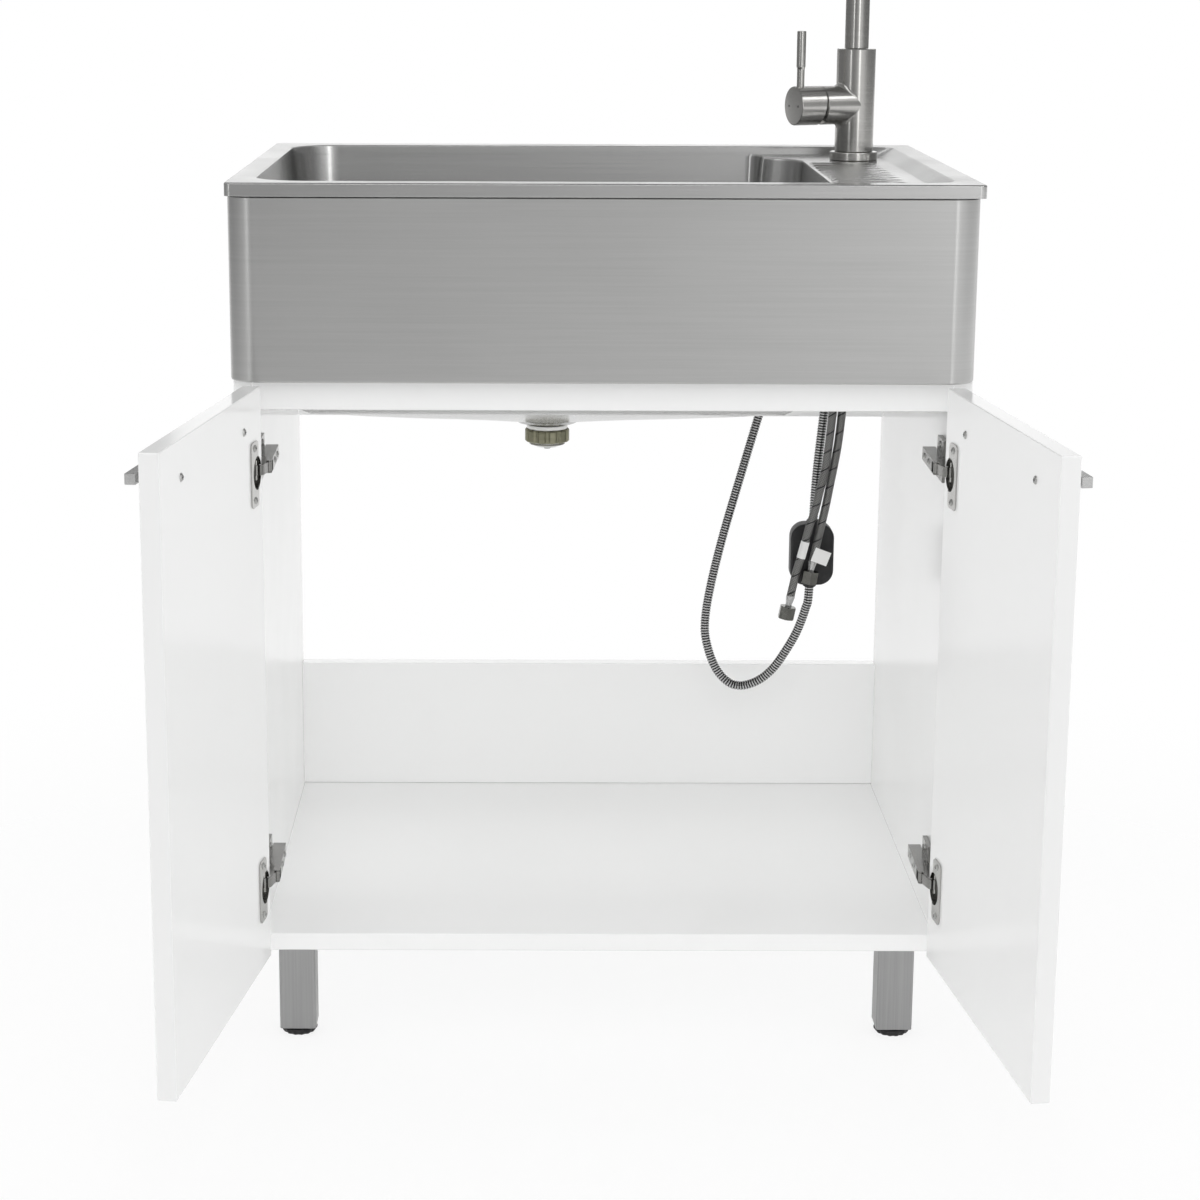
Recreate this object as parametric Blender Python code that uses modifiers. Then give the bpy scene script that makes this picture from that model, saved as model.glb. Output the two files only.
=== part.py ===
"""Laundry sink cabinet, in metres, +Z up.

A pressed stainless sink top, with a deep bowl, a ribbed drainer and a pull-out mixer tap, stands in a
stainless apron on a white cabinet with two doors, an open back and four legs. The doors stand open.
Sizes are written for the cabinet's own axes: X across, Y towards the wall, Z up from the floor, with X and Y
zero in the middle of the sink top. One empty then carries everything, so that the origin of the finished
object is under the middle of its outline.
"""

import math

import bmesh
import bpy
from mathutils import Matrix, Vector

MM = 0.001

# Fits
FIT = 0.3 * MM
PIN_CLEARANCE = 0.25 * MM
CUT_MARGIN = 2.0 * MM

# Sink top: pressed sheet
SINK_WIDTH = 730.0 * MM
SINK_DEPTH = 550.0 * MM
RIM_HEIGHT = 900.0 * MM
SHEET = 1.2 * MM
RIM_LIP = 13.0 * MM
RIM_CORNER = 10.0 * MM
RIM_EDGE = 3.0 * MM
RIM_LEFT = 23.5 * MM
RIM_RIGHT = 25.0 * MM
RIM_FRONT = 25.0 * MM
RIM_BACK = 32.0 * MM
RECESS_DROP = 8.5 * MM
RECESS_SLOPE = 1.5 * MM
RECESS_END_SLOPE = 18.0 * MM
RECESS_END_CORNER = 26.0 * MM
BOWL_DEPTH = 237.0 * MM
BOWL_SHOULDER = 0.5 * MM
BOWL_DRAFT = 18.0 * MM
BOWL_CORNER = 50.0 * MM
BOWL_FLOOR_RADIUS = 45.0 * MM
BOWL_FLOOR_FALL = 34.5 * MM
TAP_LEDGE_WIDTH = 40.0 * MM
TAP_LEDGE_DEPTH = 60.0 * MM
TAP_LEDGE_SLANT = 18.0 * MM
CORNER_STEPS = 6
SIDE_STEPS = 4

# Drainer ribs, counted from the tap to the front
DRAINER_WIDTH = 91.0 * MM
RIB_COUNT = 12
RIB_WIDTH = 13.0 * MM
RIB_HEIGHT = 2.4 * MM
RIB_NEAR_END = 4.0 * MM
RIB_FAR_END = 30.0 * MM
RIB_MARGIN = 1.5 * MM
RIB_FAR_MARGIN = 16.0 * MM
FIRST_RIB_FROM_TAP = 61.0 * MM
LAST_RIB_FROM_FRONT = 19.0 * MM

# Basket waste
WASTE_X = -53.0 * MM
WASTE_Y = 0.0 * MM
SEAT_RADIUS = 38.0 * MM
SEAT_FLAT_RADIUS = 31.0 * MM
SEAT_DEPTH = 4.5 * MM
WASTE_FLANGE_RADIUS = 29.0 * MM
WASTE_FLANGE = 1.6 * MM
WASTE_TAIL_RADIUS = 19.5 * MM
WASTE_TAIL_WALL = 2.5 * MM
WASTE_TAIL_BELOW = 24.0 * MM
GASKET = 2.2 * MM
GASKET_RADIUS = 21.8 * MM
WASHER = 4.0 * MM
WASHER_RADIUS = 22.0 * MM
LOCK_NUT = 14.0 * MM
LOCK_NUT_RADIUS = 24.0 * MM
LOCK_NUT_NOTCHES = 12
LOCK_NUT_NOTCH = 1.6 * MM
TAIL_PLUG = 3.0 * MM
TAIL_PLUG_TIP = 2.0 * MM
BASKET_RADIUS = 26.5 * MM
BASKET_WALL = 1.2 * MM
BASKET_HEIGHT = 10.0 * MM
BASKET_FOOT_RADIUS = 15.5 * MM
BASKET_HOLES = 8
BASKET_HOLE_RADIUS = 1.8 * MM
BASKET_KNOB_RADIUS = 7.0 * MM
BASKET_KNOB_HEIGHT = 20.0 * MM

# Apron
APRON_HEIGHT = 193.0 * MM
APRON_SIDE_INSET = 3.5 * MM
APRON_FRONT_INSET = 2.0 * MM
APRON_CORNER = 12.0 * MM
APRON_LIP = 14.0 * MM

# Cabinet boards
BOARD = 18.0 * MM
BOARD_EDGE = 0.8 * MM
CABINET_BACK_INSET = 0.5 * MM
LEG_ROOM = 116.0 * MM
LOW_BACK_HEIGHT = 150.0 * MM
FRONT_RAIL_HEIGHT = 29.5 * MM
BACK_RAIL_HEIGHT = 121.5 * MM

# Legs and adjustable feet
LEG_TUBE = 38.0 * MM
LEG_WALL = 1.5 * MM
LEG_CORNER = 3.0 * MM
LEG_END_PLATE = 4.0 * MM
LEG_FROM_SIDE = 28.5 * MM
LEG_FROM_FRONT = 50.0 * MM
LEG_FROM_BACK = 50.0 * MM
FOOT_HEIGHT = 8.3 * MM
FOOT_RADIUS = 19.0 * MM
FOOT_RIDGES = 14
FOOT_RIDGE = 1.2 * MM
FOOT_STEM_RADIUS = 5.0 * MM
FOOT_STEM = 34.0 * MM

# Doors
DOOR_GAP = 2.0 * MM
DOOR_REVEAL = 0.5 * MM
DOOR_MIDDLE_GAP = 3.0 * MM
DOOR_TOP_GAP = 3.0 * MM
DOOR_BOTTOM_GAP = 3.0 * MM
LEFT_DOOR_OPEN = math.radians(98.0)
RIGHT_DOOR_OPEN = math.radians(96.5)

# Door handles: square bar on two posts
HANDLE_BAR = 10.0 * MM
HANDLE_CENTRES = 224.0 * MM
HANDLE_OVERHANG = 11.0 * MM
HANDLE_REACH = 28.0 * MM
HANDLE_FROM_TOP = 33.5 * MM

# Concealed hinges. The link turns against the door by a fixed share of the door's own turn.
HINGE_FROM_DOOR_END = 81.0 * MM
CUP_RADIUS = 17.5 * MM
CUP_WALL = 1.0 * MM
CUP_DEPTH = 11.8 * MM
CUP_FROM_EDGE = 5.0 * MM
CUP_FLANGE = 1.2 * MM
CUP_FLANGE_LENGTH = 64.0 * MM
CUP_FLANGE_WIDTH = 27.0 * MM
CUP_FLANGE_OFFSET = 9.0 * MM
CUP_FLANGE_CORNER = 5.0 * MM
CUP_PIN_RADIUS = 1.3 * MM
CUP_PIN_FROM_EDGE = 9.6 * MM
CUP_PIN_DEPTH = 3.5 * MM
ARM_PIN_RADIUS = 1.5 * MM
ARM_PIN_FROM_PANEL = 15.9 * MM
ARM_PIN_AHEAD = 9.3 * MM
ARM_TIP_RADIUS = 3.2 * MM
ARM_WIDTH = 13.0 * MM
ARM_LENGTH = 74.0 * MM
ARM_PLATE = 5.0 * MM
ARM_PLATE_LENGTH = 38.0 * MM
ARM_PLATE_HEIGHT = 42.0 * MM
ARM_PLATE_FROM_FRONT = 22.0 * MM
ARM_DEPTH = 13.0 * MM
LINK_WIDTH = 10.0 * MM
LINK_STRAP = 2.4 * MM
LINK_NECK = 4.5 * MM
LINK_EYE_RADIUS = 2.4 * MM
LINK_TURN_SHARE = 0.75

# Mixer tap
TAP_FROM_RIGHT = 77.5 * MM
TAP_FROM_BACK = 115.0 * MM
TAP_RING_RADIUS = 26.3 * MM
TAP_RING_HEIGHT = 9.0 * MM
TAP_BODY_RADIUS = 21.4 * MM
TAP_BODY_HEIGHT = 112.0 * MM
TAP_SHANK_RADIUS = 16.5 * MM
TAP_SHANK_BELOW = 45.0 * MM
BACKING_NUT_RADIUS = 27.0 * MM
BACKING_NUT = 12.0 * MM
VALVE_ABOVE_DECK = 60.5 * MM
VALVE_RADIUS = 21.0 * MM
VALVE_LENGTH = 43.6 * MM
VALVE_TO_FRONT = math.radians(23.0)
SPINDLE_RADIUS = 6.0 * MM
SPINDLE_BORE_DEPTH = 10.0 * MM
SPINDLE_OUT = 14.0 * MM
CAP_RADIUS = 21.2 * MM
CAP_END = 77.0 * MM
CAP_BORE_RADIUS = 17.0 * MM
CAP_BORE_DEPTH = 18.0 * MM
CAP_SLANT = math.radians(6.5)
CAP_TILT_PIVOT = 46.0 * MM
LEVER_AT = 69.0 * MM
LEVER_FOOT_RADIUS = 4.2 * MM
LEVER_RADIUS = 5.0 * MM
LEVER_HEIGHT = 59.5 * MM
LEVER_SOCKET = 6.0 * MM
SPOUT_RADIUS = 13.2 * MM
SPOUT_RISE = 168.0 * MM
SPOUT_BEND_RADIUS = 80.0 * MM
SPOUT_DROP = 12.0 * MM
SPOUT_TO_FRONT = math.radians(35.0)
SPOUT_BORE_RADIUS = 9.0 * MM
SPOUT_BORE_DEPTH = 38.0 * MM
HEAD_RADIUS = 15.0 * MM
HEAD_NECK_RADIUS = 8.4 * MM
HEAD_NECK = 16.0 * MM
HEAD_LENGTH = 92.0 * MM
HEAD_NOZZLE_RADIUS = 11.0 * MM
HEAD_NOZZLE_DEPTH = 3.0 * MM
SPRAY_HOSE_RADIUS = 5.2 * MM

# Hoses under the sink
RIBBED_RADIUS = 5.3 * MM
RIBBED_VALLEY = 0.84
RIBBED_BORE_RADIUS = 3.0 * MM
RIBBED_RIBS = 120
BRAIDED_RADIUS = 4.7 * MM
BRAIDED_STEP = 22.0 * MM
FERRULE_RADIUS = 3.6 * MM
FERRULE_LENGTH = 12.0 * MM
HOSE_NUT_FLATS = 17.0 * MM
HOSE_NUT_LENGTH = 15.0 * MM
HOSE_NUT_BORE_RADIUS = 6.0 * MM
HOSE_NUT_BORE_DEPTH = 9.0 * MM
WEIGHT_WIDTH = 50.0 * MM
WEIGHT_HEIGHT = 72.0 * MM
WEIGHT_THICKNESS = 24.0 * MM
WEIGHT_CORNER = 17.0 * MM
WEIGHT_EDGE = 3.0 * MM
WEIGHT_CLEARANCE = 0.5 * MM

# Where things stand, from the sizes above
DECK = RIM_HEIGHT - RECESS_DROP
APRON_BOTTOM = RIM_HEIGHT - APRON_HEIGHT
CABINET_HALF = SINK_WIDTH / 2 - APRON_SIDE_INSET
PANEL_INNER = CABINET_HALF - BOARD
CABINET_TOP = APRON_BOTTOM - FIT
CABINET_BACK = SINK_DEPTH / 2 - CABINET_BACK_INSET
APRON_FRONT = -SINK_DEPTH / 2 + APRON_FRONT_INSET
DOOR_INNER_Y = APRON_FRONT + BOARD
CABINET_FRONT = DOOR_INNER_Y + DOOR_GAP
BOTTOM_TOP = LEG_ROOM + BOARD
DOOR_EDGE = CABINET_HALF - DOOR_REVEAL
DOOR_WIDTH = DOOR_EDGE - DOOR_MIDDLE_GAP / 2
DOOR_BOTTOM = LEG_ROOM + DOOR_BOTTOM_GAP
DOOR_TOP = APRON_BOTTOM - DOOR_TOP_GAP
HINGE_HEIGHTS = {"upper": DOOR_TOP - HINGE_FROM_DOOR_END, "lower": DOOR_BOTTOM + HINGE_FROM_DOOR_END}
TAP_X = SINK_WIDTH / 2 - TAP_FROM_RIGHT
TAP_Y = SINK_DEPTH / 2 - TAP_FROM_BACK
TAP_FOOT = DECK + TAP_RING_HEIGHT + 2 * FIT
TAP_TOP = TAP_FOOT + TAP_BODY_HEIGHT
SHANK_END = DECK - TAP_SHANK_BELOW
SIDES = {"left": -1, "right": 1}
DOOR_OPEN = {"left": LEFT_DOOR_OPEN, "right": RIGHT_DOOR_OPEN}
HANDLE_BAR_LENGTH = HANDLE_CENTRES + HANDLE_BAR + 2 * HANDLE_OVERHANG

for old in list(bpy.data.objects):
    bpy.data.objects.remove(old, do_unlink=True)
for old in list(bpy.data.collections):
    bpy.data.collections.remove(old)

PARTS = bpy.data.collections.new("laundry_sink_cabinet")
CUTTERS = bpy.data.collections.new("cutters")
for collection in (PARTS, CUTTERS):
    bpy.context.scene.collection.children.link(collection)


# Materials

def material(name, colour, roughness, metallic=0.0):
    """A plain Principled material with the finish that the piece shows."""
    made = bpy.data.materials.new(name)
    made.use_nodes = True
    shader = made.node_tree.nodes["Principled BSDF"]
    shader.inputs["Base Color"].default_value = (*colour, 1.0)
    shader.inputs["Roughness"].default_value = roughness
    shader.inputs["Metallic"].default_value = metallic
    return made


SINK_STEEL = material("brushed_sink_steel", (0.56, 0.56, 0.55), 0.32, 1.0)
TAP_STEEL = material("brushed_tap_steel", (0.50, 0.48, 0.45), 0.30, 1.0)
LEG_STEEL = material("leg_steel", (0.52, 0.52, 0.52), 0.35, 1.0)
HINGE_STEEL = material("nickel_plate", (0.58, 0.56, 0.52), 0.28, 1.0)
WHITE_BOARD = material("white_gloss_board", (0.86, 0.86, 0.86), 0.18)
BLACK_PLASTIC = material("black_plastic", (0.02, 0.02, 0.02), 0.45)
WHITE_PLASTIC = material("white_plastic", (0.80, 0.80, 0.78), 0.40)
BRASS = material("lock_nut_brass", (0.36, 0.33, 0.20), 0.38, 1.0)
RUBBER = material("gasket_rubber", (0.03, 0.03, 0.03), 0.70)
BRAID = material("steel_braid", (0.34, 0.34, 0.33), 0.45, 0.8)


# Modelling tools

def empty(name, parent=None, location=(0.0, 0.0, 0.0), turn=0.0):
    """A carrier for the pieces of one moving body: it stands on the joint's axis."""
    carrier = bpy.data.objects.new(name, None)
    carrier.empty_display_size = 0.03
    carrier.parent = parent
    carrier.location = location
    carrier.rotation_euler = (0.0, 0.0, turn)
    PARTS.objects.link(carrier)
    return carrier


def from_bmesh(name, bm, parent, finish):
    """Turn a bmesh into an object. Without a finish it is a cutter."""
    mesh = bpy.data.meshes.new(name)
    bm.to_mesh(mesh)
    bm.free()
    made = bpy.data.objects.new(name, mesh)
    made.parent = parent
    if finish is None:
        CUTTERS.objects.link(made)
        made.hide_render = True
        made.display_type = "WIRE"
    else:
        PARTS.objects.link(made)
        mesh.materials.append(finish)
        mesh.shade_smooth()
        mesh.set_sharp_from_angle(angle=math.radians(35.0))
    return made


def box(name, low, high, parent, finish=None):
    """A block between two corners."""
    low, high = Vector(low), Vector(high)
    bm = bmesh.new()
    bmesh.ops.create_cube(bm, size=1.0)
    bmesh.ops.scale(bm, vec=high - low, verts=bm.verts)
    bmesh.ops.translate(bm, vec=(low + high) / 2, verts=bm.verts)
    return from_bmesh(name, bm, parent, finish)


def cylinder(name, radius, start, end, parent, finish=None, segments=24):
    """A round bar from one point to another."""
    start, end = Vector(start), Vector(end)
    bm = bmesh.new()
    bmesh.ops.create_cone(
        bm, cap_ends=True, segments=segments, radius1=radius, radius2=radius, depth=(end - start).length)
    turn = Vector((0.0, 0.0, 1.0)).rotation_difference(end - start).to_matrix().to_4x4()
    bmesh.ops.transform(bm, matrix=Matrix.Translation((start + end) / 2) @ turn, verts=bm.verts)
    return from_bmesh(name, bm, parent, finish)


def turned(name, profile, parent, finish=None, centre=(0.0, 0.0), segments=32):
    """A turned piece: its profile (radius, height) runs down the outer side and is spun by a Screw."""
    mesh = bpy.data.meshes.new(name)
    points = [(radius, 0.0, height) for radius, height in profile]
    edges = [(index, index + 1) for index in range(len(points) - 1)]
    mesh.from_pydata(points, edges, [])
    made = bpy.data.objects.new(name, mesh)
    made.parent = parent
    made.location = (centre[0], centre[1], 0.0)
    spin = made.modifiers.new("spin", "SCREW")
    spin.steps = segments
    spin.render_steps = segments
    spin.use_merge_vertices = True
    spin.merge_threshold = 0.00001
    if finish is None:
        CUTTERS.objects.link(made)
        made.hide_render = True
        made.display_type = "WIRE"
    else:
        PARTS.objects.link(made)
        mesh.materials.append(finish)
    return made


def curve_to_bmesh(curve):
    """Read a curve as a closed mesh, with its loose caps welded, and remove the curve."""
    carrier = bpy.data.objects.new(curve.name, curve)
    CUTTERS.objects.link(carrier)
    depsgraph = bpy.context.evaluated_depsgraph_get()
    mesh = bpy.data.meshes.new_from_object(carrier.evaluated_get(depsgraph))
    bm = bmesh.new()
    bm.from_mesh(mesh)
    bmesh.ops.remove_doubles(bm, verts=bm.verts, dist=0.00001)
    bmesh.ops.recalc_face_normals(bm, faces=bm.faces)
    bpy.data.objects.remove(carrier, do_unlink=True)
    bpy.data.meshes.remove(mesh)
    return bm


def slab(name, loops, low, high, parent, finish=None):
    """A flat outline, with holes where loops lie inside others, extruded between two heights."""
    curve = bpy.data.curves.new(name, "CURVE")
    curve.dimensions = "2D"
    curve.fill_mode = "BOTH"
    curve.extrude = (high - low) / 2
    for loop in loops:
        spline = curve.splines.new("POLY")
        spline.points.add(len(loop) - 1)
        for point, place in zip(spline.points, loop):
            point.co = (place[0], place[1], 0.0, 1.0)
        spline.use_cyclic_u = True
    bm = curve_to_bmesh(curve)
    bmesh.ops.translate(bm, vec=(0.0, 0.0, (low + high) / 2), verts=bm.verts)
    return from_bmesh(name, bm, parent, finish)


def tube(name, path, radii, bevel, sides, parent, finish=None):
    """A round tube along a path, with a radius for each point."""
    curve = bpy.data.curves.new(name, "CURVE")
    curve.dimensions = "3D"
    curve.bevel_depth = bevel
    curve.bevel_resolution = sides
    curve.use_fill_caps = True
    spline = curve.splines.new("POLY")
    spline.points.add(len(path) - 1)
    for point, place, radius in zip(spline.points, path, radii):
        point.co = (*place, 1.0)
        point.radius = radius / bevel
    return from_bmesh(name, curve_to_bmesh(curve), parent, finish)


def loft(name, rings, parent, finish=None):
    """A closed skin over rings of equally many points, with flat ends."""
    bm = bmesh.new()
    loops = []
    for ring in rings:
        loops.append([bm.verts.new(place) for place in ring])
    count = len(loops[0])
    for lower, upper in zip(loops, loops[1:]):
        for index in range(count):
            after = (index + 1) % count
            bm.faces.new((lower[index], lower[after], upper[after], upper[index]))
    bm.faces.new(loops[0])
    bm.faces.new(loops[-1])
    bmesh.ops.recalc_face_normals(bm, faces=bm.faces)
    return from_bmesh(name, bm, parent, finish)


def combine(target, tool, operation):
    """Boolean one piece with a hidden tool that stands in the same frame."""
    if tool.name in PARTS.objects:
        PARTS.objects.unlink(tool)
        CUTTERS.objects.link(tool)
    tool.hide_render = True
    tool.display_type = "WIRE"
    modifier = target.modifiers.new(tool.name, "BOOLEAN")
    modifier.object = tool
    modifier.operation = operation
    modifier.solver = "EXACT"


def cut(target, *tools):
    """Take the tools out of a piece."""
    for tool in tools:
        combine(target, tool, "DIFFERENCE")


def fuse(target, *tools):
    """Weld the tools to a piece."""
    for tool in tools:
        combine(target, tool, "UNION")


def round_edges(target, width):
    """Break the sharp edges of a board."""
    modifier = target.modifiers.new("edges", "BEVEL")
    modifier.width = width
    modifier.segments = 1


def rounded_outline(corners, inset=0.0, steps=CORNER_STEPS):
    """Points round a closed outline. Corners are (x, y, radius), anticlockwise. The inset moves every side
    inwards, so a corner that turns out gets tighter and one that turns in gets wider."""
    points = []
    count = len(corners)
    for index, (x, y, radius) in enumerate(corners):
        here = Vector((x, y))
        before = Vector(corners[index - 1][:2])
        after = Vector(corners[(index + 1) % count][:2])
        way_in = (here - before).normalized()
        way_out = (after - here).normalized()
        inward_in = Vector((-way_in.y, way_in.x))
        inward_out = Vector((-way_out.y, way_out.x))
        spread = (inward_in + inward_out) / (1.0 + inward_in.dot(inward_out))
        turns_out = way_in.cross(way_out) > 0.0
        bend = max(radius - inset, SHEET) if turns_out else min(radius + inset, 1.5 * radius)
        sign = 1.0 if turns_out else -1.0
        centre = here + spread * (inset + sign * bend)
        angle = way_in.angle_signed(way_out)
        for step in range(steps + 1):
            turn = Matrix.Rotation(-angle * step / steps, 2)
            points.append(centre - sign * bend * (turn @ inward_in))
    return points


def at_height(outline, height):
    """Lift a flat outline to a height."""
    return [Vector((point.x, point.y, height)) for point in outline]


def with_side_points(outline):
    """Add points along the straight sides of a rounded outline."""
    points = []
    for index, point in enumerate(outline):
        points.append(point)
        if index % (CORNER_STEPS + 1) == CORNER_STEPS:
            after = outline[(index + 1) % len(outline)]
            points.extend(point.lerp(after, part / SIDE_STEPS) for part in range(1, SIDE_STEPS))
    return points


def smooth_path(points, step):
    """Points at even steps along a smooth curve through the route's own points."""
    places = [Vector(point) * MM for point in points]
    fine = []
    for index in range(len(places) - 1):
        first = places[max(index - 1, 0)]
        second, third = places[index], places[index + 1]
        fourth = places[min(index + 2, len(places) - 1)]
        for part in range(24):
            t = part / 24
            fine.append(0.5 * (
                2 * second + (third - first) * t
                + (2 * first - 5 * second + 4 * third - fourth) * t ** 2
                + (3 * second - first - 3 * third + fourth) * t ** 3))
    fine.append(places[-1])
    lengths = [0.0]
    for first, second in zip(fine, fine[1:]):
        lengths.append(lengths[-1] + (second - first).length)
    pieces = max(2, round(lengths[-1] / step))
    path = []
    index = 0
    for number in range(pieces + 1):
        wanted = lengths[-1] * number / pieces
        while index < len(fine) - 2 and lengths[index + 1] < wanted:
            index += 1
        share = (wanted - lengths[index]) / (lengths[index + 1] - lengths[index])
        path.append(fine[index].lerp(fine[index + 1], min(share, 1.0)))
    return path, lengths[-1]


# Door hinges: where the pins stand, and how far the doors swing

def across(side, distance):
    """X of a place that is so far out from the middle, on either side."""
    return SIDES[side] * distance


def arm_pin(side):
    """The pin at the tip of the hinge arm, which the link turns on."""
    return Vector((across(side, PANEL_INNER - ARM_PIN_FROM_PANEL), CABINET_FRONT - ARM_PIN_AHEAD, 0.0))


def closed_cup_pin(side):
    """The pin in the hinge cup while the door is closed."""
    return Vector((across(side, DOOR_EDGE - CUP_PIN_FROM_EDGE), DOOR_INNER_Y - CUP_PIN_DEPTH, 0.0))


def link_turn(side):
    """The link's turn from closed to the open doors, against the door's own turn."""
    return -SIDES[side] * LINK_TURN_SHARE * DOOR_OPEN[side]


def open_cup_pin(side):
    """The pin in the hinge cup with the door open."""
    reach = closed_cup_pin(side) - arm_pin(side)
    return arm_pin(side) + Matrix.Rotation(link_turn(side), 3, "Z") @ reach


def open_place(side, from_edge, y):
    """Where a point of the closed door, so far from its hinge edge, goes when the door is open."""
    closed = Vector((across(side, DOOR_EDGE - from_edge), y, 0.0))
    swing = Matrix.Rotation(SIDES[side] * DOOR_OPEN[side], 3, "Z")
    return open_cup_pin(side) + swing @ (closed - closed_cup_pin(side))


def outline_middle():
    """The middle of the object's outline on the floor, with its doors open and their handles out."""
    door_outer = APRON_FRONT
    handle_outer = APRON_FRONT - HANDLE_REACH
    bar_end = (DOOR_WIDTH + HANDLE_BAR_LENGTH) / 2
    reach = [Vector((0.0, SINK_DEPTH / 2, 0.0))]
    for side in SIDES:
        reach.append(open_place(side, DOOR_WIDTH, door_outer))
        reach.append(open_place(side, DOOR_WIDTH, DOOR_INNER_Y))
        reach.append(open_place(side, bar_end, handle_outer))
    x_values = [place.x for place in reach]
    y_values = [place.y for place in reach]
    return Vector(((min(x_values) + max(x_values)) / 2, (min(y_values) + max(y_values)) / 2, 0.0))


FRAME = empty("cabinet_frame", location=-outline_middle())


# Sink top: outlines of its recess and its bowl

LEFT_WALL = -SINK_WIDTH / 2 + RIM_LEFT
RIGHT_WALL = SINK_WIDTH / 2 - RIM_RIGHT
FRONT_WALL = -SINK_DEPTH / 2 + RIM_FRONT
BACK_WALL = SINK_DEPTH / 2 - RIM_BACK
DRAINER_END = RIGHT_WALL - RECESS_END_SLOPE
BOWL_END = DRAINER_END - DRAINER_WIDTH
LEDGE_X = BOWL_END - TAP_LEDGE_WIDTH
LEDGE_Y = BACK_WALL - TAP_LEDGE_DEPTH
LEDGE_CORNER = 1.1 * TAP_LEDGE_WIDTH
LEDGE_INNER_CORNER = 0.45 * TAP_LEDGE_WIDTH
BOWL_FLOOR = RIM_HEIGHT - BOWL_DEPTH
SEAT_TOP = BOWL_FLOOR - BOWL_FLOOR_FALL
SEAT_FLOOR = SEAT_TOP - SEAT_DEPTH


def recess_corners(slope, end_slope):
    """The recess that holds bowl and drainer, at its top or, further in, at its floor."""
    left, right = LEFT_WALL + slope, RIGHT_WALL - end_slope
    front, back = FRONT_WALL + slope, BACK_WALL - slope
    return [
        (left, front, BOWL_CORNER), (right, front, RECESS_END_CORNER),
        (right, back, RECESS_END_CORNER), (left, back, BOWL_CORNER)]


BOWL_CORNERS = [
    (LEFT_WALL + RECESS_SLOPE, FRONT_WALL + RECESS_SLOPE, BOWL_CORNER),
    (BOWL_END, FRONT_WALL + RECESS_SLOPE, BOWL_CORNER),
    (BOWL_END, LEDGE_Y - TAP_LEDGE_SLANT, LEDGE_CORNER),
    (LEDGE_X, LEDGE_Y, LEDGE_INNER_CORNER),
    (LEDGE_X, BACK_WALL - RECESS_SLOPE, LEDGE_INNER_CORNER),
    (LEFT_WALL + RECESS_SLOPE, BACK_WALL - RECESS_SLOPE, BOWL_CORNER)]


def waste_circle(outline, radius, height):
    """A circle round the waste with as many points as the bowl's outline, in the same order."""
    centre = Vector((WASTE_X, WASTE_Y))
    ring = []
    for point in outline:
        place = centre + (point - centre).normalized() * radius
        ring.append(Vector((place.x, place.y, height)))
    return ring


def bowl_rings(grow, top):
    """Rings down the bowl: walls with draft, a round foot, a floor that falls to the waste and its seat."""
    rings = [at_height(with_side_points(rounded_outline(BOWL_CORNERS, BOWL_SHOULDER - grow)), top)]
    foot = BOWL_FLOOR - grow + BOWL_FLOOR_RADIUS
    for step in range(5):
        angle = math.radians(90.0) * step / 4
        inset = BOWL_SHOULDER + BOWL_DRAFT - grow + BOWL_FLOOR_RADIUS * (1.0 - math.cos(angle))
        height = foot - BOWL_FLOOR_RADIUS * math.sin(angle)
        outline = with_side_points(rounded_outline(BOWL_CORNERS, inset))
        rings.append(at_height(outline, height))
    rings.append(waste_circle(outline, SEAT_RADIUS + grow, SEAT_TOP - grow))
    rings.append(waste_circle(outline, SEAT_FLAT_RADIUS + grow, SEAT_FLOOR - grow))
    return rings


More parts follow.
